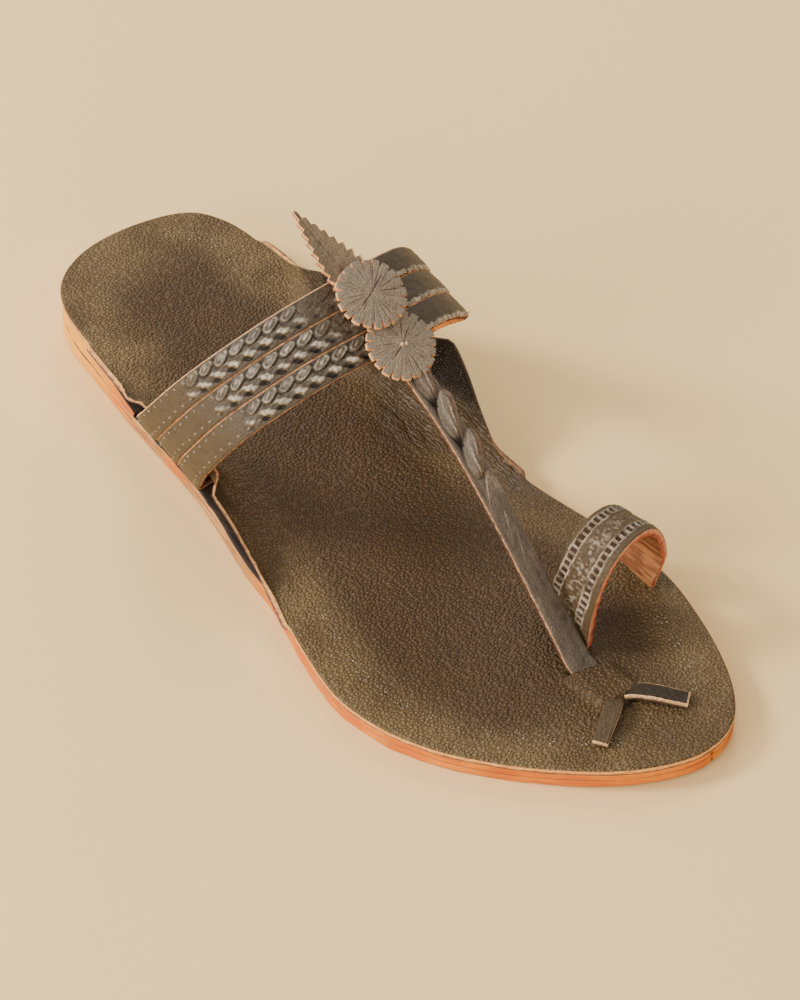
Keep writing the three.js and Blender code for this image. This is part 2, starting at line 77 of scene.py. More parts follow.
# The sole's outline: y, lateral edge, medial edge.
OUTLINE = np.array([
    (0, -6, -6), (2, 5.7, -21.5), (8, 14.5, -35.4), (18, 19.8, -41.4), (35, 23.3, -43.5),
    (60, 27.4, -43.1), (80, 30.1, -41.9), (100, 33.6, -41.1), (120, 39.2, -41), (140, 43.3, -41.4),
    (160, 49.6, -42.3), (180, 53.8, -45), (195, 52.2, -46.9), (210, 46.8, -46), (225, 37.5, -42.2),
    (240, 25, -36.4), (252, 12.3, -29.3), (259, 0.9, -22), (262, -11, -11),
])
# The upper face of the footbed: y, height.
LEVEL = np.array([
    (0, 15.3), (32, 15.3), (50, 14.2), (65, 12.7), (80, 11.6), (95, 10.7), (110, 9.3), (125, 8.1),
    (140, 7.4), (160, 7.3), (262, 7.3),
])
# The rim of each ear: y, height.
EARS = {
    "lateral": np.array([
        (40, 15.3), (50, 15.5), (60, 18), (72, 24), (86, 33), (98, 35.5), (106, 29.5), (113, 26),
        (120, 22), (127, 16), (134, 10.8), (142, 8.4), (152, 7.1),
    ]),
    "medial": np.array([
        (36, 15.3), (44, 15.8), (54, 19), (63, 24), (76, 31), (90, 35.5), (105, 35.5), (116, 32),
        (124, 25.5), (131, 18), (139, 11), (147, 8), (156, 7.1),
    ]),
}
# The outer face of the band, from the lateral foot to the medial foot: rear x y z, front x y z.
BAND = np.array([
    (26.9, 60, 9.2, 32.9, 94, 9.2), (35.6, 70, 22, 38.3, 102, 20),
    (41.7, 81, 37, 41.9, 109.5, 33), (36.6, 97.4, 62.4, 36.8, 122.5, 55.3),
    (16.1, 109.5, 80, 16, 132.5, 69.7), (-6.2, 113.6, 84.2, -6, 136.2, 71.8),
    (-28.6, 111.6, 79.2, -28.6, 134, 67), (-43.8, 101.2, 59.5, -43.8, 126.4, 52.4),
    (-47.2, 80, 37, -46.6, 111, 34), (-45.4, 68.5, 22, -44.5, 101.5, 21),
    (-43.2, 57.5, 9.2, -41.5, 90, 9.2),
])
# The upper face of the toe strap and of its two ends: x, y, z, width.
TOE_STRAP = np.array([
    (-6.8, 117, 84.1, 8.6), (-6.8, 126, 79.1, 8.6), (-6.8, 134, 74.7, 8.2), (-6.9, 142, 70.1, 7.8),
    (-6.7, 162, 57.4, 7.4), (-6, 182, 40.6, 7.2), (-5.3, 200, 23.2, 7.6), (-4.9, 211, 12.4, 8),
    (-4.6, 215.5, 8.4, 8.2), (-4.6, 219, 7, 8.2), (-4.6, 224, 6.9, 8.2), (-4.6, 230, 6.9, 8.2),
])
TAILS = {
    "lateral": np.array([
        (-2.9, 227, 6.9, 4), (-2.6, 230.5, 7.4, 4.2), (-1, 233.4, 10.2, 4.6),
        (3.4, 236.2, 10.6, 4.8), (8.2, 238.9, 10, 4.6), (12.2, 241.2, 9.6, 4.4),
    ]),
    "medial": np.array([
        (-6.3, 227, 6.9, 4), (-6.7, 230.8, 7.4, 4.2), (-8, 234, 10.2, 4.8),
        (-10.6, 237.6, 10.8, 5), (-13.9, 242, 10.4, 5), (-17.2, 246.4, 9.8, 4.8),
    ]),
}
# The toe loop's rear and front edges: x, half width, top, y, lean, skew, tuck, power.
LOOP_REAR = (-28, 17.1, 37.3, 192.6, 0.1, 0.06, 2.4, 2.05)
LOOP_FRONT = (-27.6, 18, 39.6, 210.8, 0.03, 0.12, 4, 2.25)
LOOP_SPRING, LOOP_TUCK_TO, LOOP_FOOT, LOOP_WIDE = 7, 12, 3.2, 18.2
# Places well inside the band and inside the toe loop, which their leather faces away from.
BAND_MIDDLE, LOOP_MIDDLE = np.array([-4, 95, 30]), np.array([-27.8, 202, 12])
# The rows of stamped stars: first y, last y, side. Their distance from the edge and from each other.
STAR_ROWS = ((150, 252, "lateral"), (222, 256, "medial"), (6, 44, "lateral"), (8, 40, "medial"))
STAR_INSET, STAR_PITCH = 10.5, 9.4


def home():
    """The shoe frame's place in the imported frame, read from two of its nodes."""
    rosette_low, rosette_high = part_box("rosette_front")
    sole_low, sole_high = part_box("outsole")
    across = ROSETTES["front"][0][0] * MM - (rosette_low[0] + rosette_high[0]) / 2
    along = LENGTH / 2 * MM - (sole_low[1] + sole_high[1]) / 2
    return np.array([across, along, 0])


HOME = home()


def placed(points):
    return np.asarray(points, float) * MM - HOME


# ------------------------------------------------------------------ small maths
def lerp(a, b, t):
    return a + (b - a) * t


def smooth(t):
    t = np.clip(t, 0, 1)
    return t * t * (3 - 2 * t)


def rise(value, start, end):
    return smooth((np.asarray(value, float) - start) / (end - start))


def hill(value, middle, half):
    """1 at the middle, falling smoothly to 0 at half to either side."""
    return smooth(1 - np.abs(np.asarray(value, float) - middle) / half)


def through(at, values):
    """A smooth function through points, the same one as the solids are made with."""
    at = np.asarray(at, float)
    values = np.asarray(values, float)
    gaps = np.diff(at)
    chords = np.diff(values) / gaps
    inner = (chords[:-1] * gaps[1:] + chords[1:] * gaps[:-1]) / (gaps[1:] + gaps[:-1])
    slopes = np.concatenate([chords[:1], inner, chords[-1:]])

    def curve(places):
        places = np.asarray(places, float)
        i = np.clip(np.searchsorted(at, places, side="left") - 1, 0, len(at) - 2)
        t = np.clip((places - at[i]) / gaps[i], 0, 1)
        return (values[i] * (1 + 2 * t) * (1 - t) ** 2 + values[i + 1] * t * t * (3 - 2 * t)
                + gaps[i] * (slopes[i] * t * (1 - t) ** 2 - slopes[i + 1] * t * t * (1 - t)))

    return curve


def noise(x, y, seed=0):
    """Smooth, repeatable noise between -1 and 1."""
    x, y = np.broadcast_arrays(np.asarray(x, float), np.asarray(y, float))
    left, low = np.floor(x), np.floor(y)
    tx, ty = smooth(x - left), smooth(y - low)

    def corner(i, j):
        value = np.sin((left + i) * 127.1 + (low + j) * 311.7 + seed * 74.7) * 43758.5453
        return 2 * (value - np.floor(value)) - 1

    return lerp(lerp(corner(0, 0), corner(1, 0), tx), lerp(corner(0, 1), corner(1, 1), tx), ty)


def unit(vectors):
    return vectors / np.maximum(np.linalg.norm(vectors, axis=-1, keepdims=True), 1e-9)


def curve_at(points, t):
    """Centripetal Catmull-Rom curve, t from 0 to 1 through equal shares of its points."""
    points = np.asarray(points, float)
    padded = np.vstack([2 * points[0] - points[1], points, 2 * points[-1] - points[-2]])
    spot = np.asarray(t, float) * (len(points) - 1)
    i = np.clip(np.floor(spot).astype(int), 0, len(points) - 2)
    w = (spot - i)[..., None]
    a, b, c, d = (padded[i + k] for k in range(4))
    gap = [np.maximum(np.sqrt(np.linalg.norm(q - p, axis=-1)), 1e-4)[..., None]
           for p, q in ((a, b), (b, c), (c, d))]
    start = gap[1] * ((b - a) / gap[0] - (c - a) / (gap[0] + gap[1]) + (c - b) / gap[1])
    end = gap[1] * ((c - b) / gap[1] - (d - b) / (gap[1] + gap[2]) + (d - c) / gap[2])
    return b + start * w + (3 * (c - b) - 2 * start - end) * w ** 2 + (2 * (b - c) + start + end) * w ** 3


def evenly(curve, count):
    """Values of t from 0 to 1 that divide a curve into equal lengths, and the lengths up to them."""
    dense = np.linspace(0, 1, 1200)
    points = curve(dense)
    run = np.concatenate([[0], np.cumsum(np.linalg.norm(np.diff(points, axis=0), axis=1))])
    share = np.linspace(0, 1, count)
    return np.interp(share * run[-1], run, dense), share * run[-1]


def normals(grid, towards):
    """Unit normals of a grid of points, on the side that `towards` points to."""
    cross = unit(np.cross(np.gradient(grid, axis=0), np.gradient(grid, axis=1)))
    flip = np.sign((cross * unit(np.asarray(towards, float))).sum(-1, keepdims=True).mean())
    return cross * flip


# ------------------------------------------------------------------ the form of the shoe
def turn(y):
    """An angle round the sole from heel to toe, so that the outline's ends come out round."""
    return np.arccos(1 - 2 * np.clip(np.asarray(y, float) / LENGTH, 0, 1))


EDGE = {side: through(turn(OUTLINE[:, 0]), OUTLINE[:, column])
        for side, column in (("lateral", 1), ("medial", 2))}
LEVEL_AT = through(LEVEL[:, 0], LEVEL[:, 1])
RIM = {side: through(rows[:, 0], rows[:, 1]) for side, rows in EARS.items()}


def edge(side, y):
    return EDGE[side](turn(y))


def ground(y):
    middle = (ARCH_FROM + ARCH_TO) / 2
    arch = ARCH_RISE * rise(y, ARCH_FROM, middle) * (1 - rise(y, middle, ARCH_TO))
    return arch + toe_spring(y)


def toe_spring(y):
    return TOE_SPRING * np.maximum(0, (np.asarray(y, float) - SPRING_FROM) / (LENGTH - SPRING_FROM)) ** 2


def midsole_top(y):
    return ground(y) + OUTSOLE + GAP + MIDSOLE


def bed_top(y):
    return LEVEL_AT(y) + toe_spring(y)


def wall(side, y, z):
    """How far out an ear stands at a height: from the sole's edge to the instep's width."""
    t = np.clip((z - WALL_FOOT) / (WALL_TOP - WALL_FOOT), 0, 1)
    return lerp(edge(side, y), INSTEP[side], 1 - (1 - t) ** 1.3)


def ear_inset(side, y, z):
    """How far an ear stands in from the wall: behind the band, under it and in front of it."""
    first, second = (BAND[0], BAND[2]) if side == "lateral" else (BAND[-1], BAND[-3])
    climb = (z - first[2]) / (second[2] - first[2])
    in_front = rise(y - lerp(first[4], second[4], climb), *EAR_FLARE)
    behind = rise(lerp(first[1], second[1], climb) - y, *EAR_FLARE)
    return EAR_INSET + (EAR_INSET_FRONT - EAR_INSET) * in_front + (EAR_INSET_REAR - EAR_INSET) * behind


def stations(count):
    """Places along the shoe, closest together at its round ends."""
    end = 0.004
    return LENGTH / 2 * (1 - np.cos(np.pi * np.linspace(end, 1 - end, count)))


# ------------------------------------------------------------------ making meshes
def mesh_piece(name, points, faces, tags, materials, stands_for=(), marks=None, crease=45):
    """A piece of the object from points in the shoe frame. `tags` are the faces' material numbers and
    `marks` are named numbers on the points, which its materials read."""
    mesh = bpy.data.meshes.new(name)
    mesh.from_pydata(placed(points).tolist(), [], faces)
    for material in materials:
        mesh.materials.append(material)
    mesh.polygons.foreach_set("material_index", np.asarray(tags, dtype=np.int32))
    for mark, values in (marks or {}).items():
        layer = mesh.attributes.new(mark, "FLOAT", "POINT")
        layer.data.foreach_set("value", np.asarray(values, dtype=np.float32).ravel())
    mesh.shade_smooth()
    mesh.set_sharp_from_angle(angle=math.radians(crease))
    made = bpy.data.objects.new(name, mesh)
    bpy.context.scene.collection.objects.link(made)
    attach(made, "root")
    if stands_for:
        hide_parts(*stands_for)
    return made


def tube_faces(rows, count, offset=0):
    """The faces of a closed tube of rings, and its two end caps."""
    ring = np.arange(count)
    following = (ring + 1) % count
    faces = []
    for row in range(rows - 1):
        a = offset + row * count
        faces.extend(np.stack([a + ring, a + following, a + count + following, a + count + ring], 1).tolist())
    last = offset + (rows - 1) * count
    return faces + [(offset + ring[::-1]).tolist(), (last + ring).tolist()]


def outward(points, faces):
    """The faces, turned so that they point out of the closed body."""
    corners = np.array([face[:3] for face in faces])
    a, b, c = (points[corners[:, k]] for k in range(3))
    quads = [i for i, face in enumerate(faces) if len(face) == 4]
    volume = (a * np.cross(b, c)).sum()
    d = points[np.array([faces[i][3] for i in quads])]
    volume += (a[quads] * np.cross(c[quads], d)).sum()
    return faces if volume > 0 else [face[::-1] for face in faces]


def slab(name, top, bottom, materials, stands_for, marks, top_tags=None, side_steps=6, bulge=0.0,
         crease=45, end_rows=0):
    """A sheet of leather between two grids of points with the same rows: its upper face, its cut
    edges with a slight bulge, and its lower face. `materials` are for those three in turn; `top_tags`
    and `end_rows` say which columns and last rows of the upper face look like a cut edge too. The
    mark `depth` goes from 0 on the upper face to 1 on the lower one."""
    rows, wide, low = top.shape[0], top.shape[1], bottom.shape[1]
    steps = np.linspace(0, 1, side_steps + 2)[1:-1]

    def flank(upper, lower, out):
        return np.stack([lerp(upper, lower, t) + out * bulge * math.sin(math.pi * t) for t in steps], 1)

    right = flank(top[:, -1], bottom[:, -1], unit(top[:, -1] - top[:, -2]))
    left = flank(bottom[:, 0], top[:, 0], unit(top[:, 0] - top[:, 1]))
    rings = np.concatenate([top, right, bottom[:, ::-1], left], axis=1)
    count = rings.shape[1]
    points = rings.reshape(-1, 3)
    upper = np.zeros(wide - 1, int) if top_tags is None else np.asarray(top_tags)
    ring_tags = np.concatenate([upper, np.full(side_steps + 1, 1), np.full(low - 1, 2),
                                np.full(side_steps + 1, 1)])
    tags = np.tile(ring_tags, (rows - 1, 1))
    if end_rows:
        tags[-end_rows:, :wide - 1] = 1
    tags = np.concatenate([tags.ravel(), [1, 1]])
    depth = np.concatenate([np.zeros(wide), steps, np.ones(low), 1 - steps])
    full = {"depth": np.tile(depth, (rows, 1))}
    for mark, values in marks.items():
        filled = np.zeros((rows, count))
        filled[:, :wide] = values
        filled[:, wide:wide + side_steps + low] = filled[:, wide - 1:wide]
        filled[:, -side_steps:] = filled[:, :1]
        full[mark] = filled
    faces = outward(points, tube_faces(rows, count))
    return mesh_piece(name, points, faces, tags, materials, stands_for, full, crease)


# ------------------------------------------------------------------ materials
def put(tree, kind, inputs=None, **settings):
    """Adds a node; an input is a number, a colour or another node's output."""
    made = tree.nodes.new(kind)
    for key, value in settings.items():
        setattr(made, key, value)
    for key, value in (inputs or {}).items():
        if isinstance(value, bpy.types.NodeSocket):
            tree.links.new(value, made.inputs[key])
        else:
            made.inputs[key].default_value = value
    return made


def srgb(red, green, blue):
    """A colour from display values between 0 and 255."""
    def linear(value):
        value /= 255
        return value / 12.92 if value <= 0.04045 else ((value + 0.055) / 1.055) ** 2.4
    return (linear(red), linear(green), linear(blue), 1)


class Surface:
    """A material, with short names for the nodes that these leathers are made of."""

    def __init__(self, name, **shader):
        self.material = bpy.data.materials.new(name)
        self.material.use_nodes = True
        self.tree = self.material.node_tree
        self.tree.nodes.clear()
        self.shader = put(self.tree, "ShaderNodeBsdfPrincipled", shader)
        output = put(self.tree, "ShaderNodeOutputMaterial")
        self.tree.links.new(self.shader.outputs["BSDF"], output.inputs["Surface"])
        place = put(self.tree, "ShaderNodeTexCoord").outputs["Object"]
        self.place = put(self.tree, "ShaderNodeVectorMath", {0: place, "Scale": 1 / MM},
                         operation="SCALE").outputs["Vector"]

    def stretched(self, *scale, by=None):
        """Places in millimetres, scaled along each axis, shifted a little by noise if wanted."""
        spot = self.place
        if by:
            size, amount = by
            shift = put(self.tree, "ShaderNodeTexNoise", {"Vector": spot, "Scale": 1 / size, "Detail": 2})
            spot = put(self.tree, "ShaderNodeVectorMath",
                       {0: shift.outputs["Color"], 1: (amount,) * 3, 2: spot},
                       operation="MULTIPLY_ADD").outputs["Vector"]
        return put(self.tree, "ShaderNodeVectorMath", {0: spot, 1: scale},
                   operation="MULTIPLY").outputs["Vector"]

    def noise(self, size, detail=3, spot=None):
        made = put(self.tree, "ShaderNodeTexNoise",
                   {"Vector": spot or self.place, "Scale": 1 / size, "Detail": detail, "Roughness": 0.55})
        return made.outputs["Fac"]

    def cells(self, size, spot=None, feature="SMOOTH_F1", flat=False):
        """Distances in a pattern of cells: from their middles, or from their borders."""
        made = put(self.tree, "ShaderNodeTexVoronoi", {"Vector": spot or self.place, "Scale": 1 / size},
                   feature=feature, voronoi_dimensions="2D" if flat else "3D")
        if feature == "SMOOTH_F1":
            made.inputs["Smoothness"].default_value = 0.3
        return made.outputs["Distance"]

    def unrolled(self, across, along, size, amount):
        """Flat places on a curved sheet, from its mark `arc` and the shoe's length."""
        y = put(self.tree, "ShaderNodeSeparateXYZ", {"Vector": self.place}).outputs["Y"]
        x = self.sum(self.mark("arc"), across, "MULTIPLY")
        flat = put(self.tree, "ShaderNodeCombineXYZ", {"X": x, "Y": self.sum(y, along, "MULTIPLY")})
        shift = put(self.tree, "ShaderNodeTexNoise", {"Vector": self.place, "Scale": 1 / size, "Detail": 2})
        return put(self.tree, "ShaderNodeVectorMath",
                   {0: shift.outputs["Color"], 1: (amount,) * 3, 2: flat.outputs["Vector"]},
                   operation="MULTIPLY_ADD").outputs["Vector"]

    def mark(self, name):
        """A named number that the mesh carries on its points."""
        return put(self.tree, "ShaderNodeAttribute", attribute_name=name).outputs["Fac"]

    def ramp(self, value, low, high, to_low=0.0, to_high=1.0):
        made = put(self.tree, "ShaderNodeMapRange",
                   {"Value": value, "From Min": low, "From Max": high, "To Min": to_low, "To Max": to_high},
                   interpolation_type="SMOOTHSTEP")
        return made.outputs["Result"]

    def sum(self, a, b, operation="ADD"):
        return put(self.tree, "ShaderNodeMath", {0: a, 1: b}, operation=operation).outputs["Value"]

    def mixed(self, share, a, b):
        """Between two values or display colours."""
        made = self.tree.nodes.new("ShaderNodeMix")
        made.data_type = "RGBA"
        for index, value in ((0, share), (6, a), (7, b)):
            if isinstance(value, bpy.types.NodeSocket):
                self.tree.links.new(value, made.inputs[index])
            else:
                made.inputs[index].default_value = srgb(*value)
        return made.outputs[2]

    def colour(self, value):
        self.tree.links.new(value, self.shader.inputs["Base Color"])

    def roughness(self, value):
        self.tree.links.new(value, self.shader.inputs["Roughness"])

    def relief(self, *layers):
        """Bump from (height, depth in millimetres) pairs, each on top of the one before."""
        normal = None
        for height, depth in layers:
            inputs = {"Height": height, "Distance": depth * MM, "Strength": 1.0}
            if normal:
                inputs["Normal"] = normal
            normal = put(self.tree, "ShaderNodeBump", inputs).outputs["Normal"]
        self.tree.links.new(normal, self.shader.inputs["Normal"])
        return self.material


def dimmed(colour, share):
    return tuple(share * value for value in colour)


def footbed_leather():
    """Olive brown pebbled leather, its colour darkened into painted shade in the valleys between the pebbles
    and along the ears' grain and creases. The marks: `worn` darkens the middle where the foot treads, `ear`
    gives the small dark shiny grain of the ears and the painted shadow in the toe strap's slits, and
    `fold` the long creases along their roots."""
    skin = Surface("footbed_leather", **{"Specular IOR Level": 0.22})
    spread = skin.unrolled(0.92, 1.08, 2.8, 1.5)
    domes = skin.cells(1.1, spread, "DISTANCE_TO_EDGE", True)
    round_tops = skin.cells(1.1, spread, "F1", True)
    fine = skin.noise(0.3, 2)
    cloud = skin.noise(20, 3)
    ear, fold, worn = skin.mark("ear"), skin.mark("fold"), skin.mark("worn")
    # Painted shade: the pebbles darken into their valleys.
    crown = skin.ramp(domes, 0.0, 0.3)
    outer = skin.mixed(crown, (88, 68, 40), (120, 98, 63))
    inner = skin.mixed(crown, (58, 42, 24), (82, 62, 36))
    base = skin.mixed(worn, outer, inner)
    brown = skin.mixed(crown, (60, 42, 22), (88, 65, 36))
    base = skin.mixed(skin.ramp(cloud, 0.42, 0.7, 0, 0.7), base, brown)
    small = skin.cells(0.8, skin.unrolled(1, 1, 1.8, 0.9), "DISTANCE_TO_EDGE", True)
    long_creases = skin.cells(1.5, skin.unrolled(1.5, 0.24, 5, 4), "DISTANCE_TO_EDGE", True)
    # Painted shade: the ears' grain and long creases darken into their valleys.
    grain = skin.mixed(skin.ramp(small, 0.02, 0.2), (26, 20, 14), (54, 43, 31))
    creased = skin.mixed(skin.ramp(long_creases, 0.0, 0.1), (36, 27, 18), (76, 60, 40))
    shiny = skin.mixed(fold, grain, creased)
    skin.colour(skin.mixed(ear, base, shiny))
    dull = skin.ramp(fine, 0.3, 0.7, 0.42, 0.56)
    skin.roughness(skin.sum(dull, skin.sum(ear, 0.2, "MULTIPLY"), "SUBTRACT"))
    pebble_height = skin.ramp(round_tops, 0.08, 0.72, 1, 0)
    ear_height = skin.mixed(fold, skin.ramp(small, 0.0, 0.32), skin.ramp(long_creases, 0.0, 0.3))
    height = skin.mixed(ear, pebble_height, ear_height)
    return skin.relief((skin.noise(6, 2), 0.45), (height, 0.36), (fine, 0.05))


def strap_leather(name, base, hollow_shade, crest_highlight, shine=0.3, glint=0.5, grain=(1, 1, 1)):
    """Olive leather with fine hairs and pores. The mark `relief` darkens the hollows to the hollow colour
    as painted shade and turns the crests to the crest colour as a painted highlight, and the fleck mark
    bares the pale fibres of the slit tips and paints pale highlights. `shine` is the crests' roughness,
    `glint` the strength of reflections and `grain` the stretch of the patches of painted highlight."""
    skin = Surface(name, **{"Specular IOR Level": glint})
    hairs = skin.noise(0.5, 3, skin.stretched(1.6, 0.8, 1.2, by=(1.4, 1.2)))
    pores = skin.ramp(skin.cells(0.8, skin.stretched(1, 1, 1, by=(1.5, 0.7))), 0.1, 0.5)
    cloud = skin.noise(9, 3)
    height = skin.mark("relief")
    flat = skin.mixed(skin.ramp(hairs, 0.36, 0.64), dimmed(base, 0.74), base)
    flat = skin.mixed(skin.ramp(cloud, 0.35, 0.7, 0, 0.5), flat, dimmed(base, 0.8))
    # Painted shade: the hollows of the relief darken towards the hollow colour.
    low = skin.mixed(skin.ramp(height, -0.55, 0.02), hollow_shade, flat)
    # Painted highlight: the high crests of the relief turn pale, in patches.
    sheen_patches = skin.ramp(skin.noise(1.1, 3, skin.stretched(*grain)), 0.35, 0.65)
    worn = skin.mixed(sheen_patches, dimmed(crest_highlight, 0.6), crest_highlight)
    crest = skin.mixed(skin.ramp(height, 0.15, 0.8), low, worn)
    skin.colour(skin.mixed(skin.mark("fleck_and_highlight"), crest, (200, 182, 156)))
    skin.roughness(skin.ramp(height, 0.05, 0.7, 0.6, shine))
    return skin.relief((pores, 0.1), (hairs, 0.12))


def cut_edge(name, pale, dark, low, streak, turn_at=0.5):
    """The raw fibres of a cut edge, streaked along it. The mark `depth` turns it to the colour `low`
    below `turn_at`, with a ragged line between: painted shade on the lower part of the footbed and strap
    edges, the real inner layer on the toe loop's edge. The mark `ear` turns it dark brown as painted
    shade along the ears."""
    skin = Surface(name, Roughness=0.7)
    fibres = skin.noise(0.9, 4, skin.stretched(*streak, by=(4, 0.6)))
    shade = skin.mixed(skin.ramp(fibres, 0.3, 0.7), dark, pale)
    ragged = skin.sum(skin.mark("depth"), skin.ramp(skin.noise(1.8, 3), 0.2, 0.8, -0.16, 0.16))
    under = skin.mixed(skin.ramp(fibres, 0.35, 0.65), dimmed(low, 0.7), low)
    both = skin.mixed(skin.ramp(ragged, turn_at - 0.08, turn_at + 0.08), shade, under)
    # Dark brown along the ears: painted shade.
    skin.colour(skin.mixed(skin.mark("ear"), both, (74, 50, 34)))
    return skin.relief((fibres, 0.14))


def sole_edge():
    """Dyed sole edge: orange tan in layers, yellower where `heel` is high, turning to bare tan where
    `dye` is low and red brown where `burnt` is high."""
    skin = Surface("sole_edge", Roughness=0.55, **{"Specular IOR Level": 0.35})
    layers = skin.noise(1.0, 4, skin.stretched(0.08, 0.08, 2.6, by=(6, 0.25)))
    patches = skin.noise(11, 3)
    toe_tan = skin.mixed(skin.ramp(patches, 0.35, 0.7), (222, 108, 8), (240, 140, 22))
    bright = skin.mixed(skin.mark("heel"), toe_tan, (255, 178, 58))
    bare = skin.mixed(skin.ramp(layers, 0.35, 0.65), (150, 102, 54), (210, 154, 88))
    dyed = skin.mixed(skin.mark("dye"), bare, bright)
    lined = skin.mixed(skin.ramp(layers, 0.42, 0.62, 0.35, 0), dyed, (150, 72, 22))
    skin.colour(skin.mixed(skin.mark("burnt"), lined, (112, 50, 28)))
    return skin.relief((layers, 0.14), (skin.noise(0.5, 3), 0.06))


def lining_leather(name, light, dark, dark_up_to=0):
    """The smooth flesh side, with brushed streaks, darker towards the bottom up to the given height."""
    skin = Surface(name, Roughness=0.6)
    streaks = skin.noise(1.6, 4, skin.stretched(1.0, 0.16, 1.0, by=(8, 1.5)))
    cloud = skin.noise(9, 3)
    shade = skin.mixed(skin.ramp(streaks, 0.36, 0.68), dark, light)
    shade = skin.mixed(skin.ramp(cloud, 0.45, 0.8, 0, 0.5), shade, dimmed(dark, 0.8))
    if dark_up_to:
        height = put(skin.tree, "ShaderNodeSeparateXYZ", {"Vector": skin.place}).outputs["Z"]
        shade = skin.mixed(skin.ramp(height, 0.55 * dark_up_to, dark_up_to, 0.9, 0), shade, (26, 18, 12))
    skin.colour(shade)
    return skin.relief((streaks, 0.06), (skin.noise(0.4, 2), 0.04))


def plain_metal(name, colour, roughness):
    skin = Surface(name, Metallic=1.0)
    wear = skin.noise(1.6, 3)
    skin.colour(skin.mixed(skin.ramp(wear, 0.35, 0.7), dimmed(colour, 0.62), colour))
    skin.roughness(skin.ramp(wear, 0.3, 0.7, roughness, roughness + 0.2))
    return skin.relief((skin.noise(0.6, 2), 0.03))


BED_SKIN = footbed_leather()
# The low colour of the footbed, strap and toe strap edges is painted shade on their lower parts.
BED_EDGE = cut_edge("footbed_edge", (240, 176, 96), (186, 118, 66), (128, 80, 50), (0.3, 0.3, 2.4), 0.66)
# The footbed's underside, dark brown: painted shade under the footbed and behind its ears.
BED_BACK_SHADE = lining_leather("footbed_back_shade", (84, 60, 40), (52, 38, 27))
FLESH = lining_leather("flesh_side", (214, 126, 50), (176, 92, 36), 30)
STRAP_SKIN = strap_leather("strap_leather", (78, 61, 38), (38, 27, 17), (186, 170, 146), 0.2)
STRAP_EDGE = cut_edge("strap_edge", (226, 176, 124), (184, 130, 86), (112, 62, 40), (0.5, 0.5, 0.8), 0.16)
TOE_EDGE = cut_edge("toe_strap_edge", (212, 160, 106), (170, 118, 74), (92, 56, 36), (0.5, 0.5, 0.8), 0.12)
TOE_SKIN = strap_leather("toe_strap_leather", (104, 86, 68), (36, 26, 18), (142, 122, 100),
                         grain=(2, 0.4, 2))
LACE_SKIN = strap_leather("lace_leather", (98, 80, 58), (40, 28, 18), (158, 138, 114), 0.26,
                          grain=(2.6, 0.3, 2.6))
TAIL_SKIN = strap_leather("tail_leather", (56, 45, 30), (26, 19, 13), (76, 63, 44), 0.5, 0.2)
TAIL_EDGE = cut_edge("tail_edge", (236, 190, 130), (180, 130, 84), (110, 78, 50), (1, 1, 1), 0.5)
LACE_FLESH = cut_edge("lace_flesh", (124, 98, 80), (82, 60, 48), (96, 70, 54), (1, 0.3, 0.6), 2)
LOOP_SKIN = strap_leather("toe_loop_leather", (84, 64, 36), (60, 32, 14), (124, 102, 72), 0.3, 0.32)
LOOP_EDGE = cut_edge("toe_loop_edge", (208, 140, 98), (164, 98, 66), (190, 84, 42), (0.6, 2.4, 0.6), 0.5)
LOOP_LINING = lining_leather("toe_loop_lining", (190, 124, 70), (122, 68, 36))
SOLE_EDGE = sole_edge()
SOLE_FACE = lining_leather("sole_face", (190, 142, 96), (162, 112, 72))
# The faces of the midsole and the heel lift, dark brown: painted shade in the gap under the footbed.
MIDSOLE_FACE_SHADE = lining_leather("midsole_face_shade", (62, 43, 28), (38, 26, 17))
ORNAMENT_SKIN = strap_leather("ornament_leather", (146, 127, 101), (72, 50, 36), (154, 136, 108), 0.5)
ORNAMENT_EDGE = cut_edge("ornament_edge", (244, 184, 120), (200, 132, 82), (150, 92, 56), (0.8, 0.8, 0.8))
LEAF_SKIN = strap_leather("leaf_leather", (126, 103, 72), (56, 41, 28), (136, 114, 84), 0.5)
PALE_THONG = cut_edge("pale_thong", (222, 186, 144), (180, 140, 98), (160, 116, 78), (1, 1, 1))
BRASS = plain_metal("aged_brass", (206, 160, 84), 0.28)
DARK_NAIL = plain_metal("nail_iron", (60, 40, 30), 0.5)


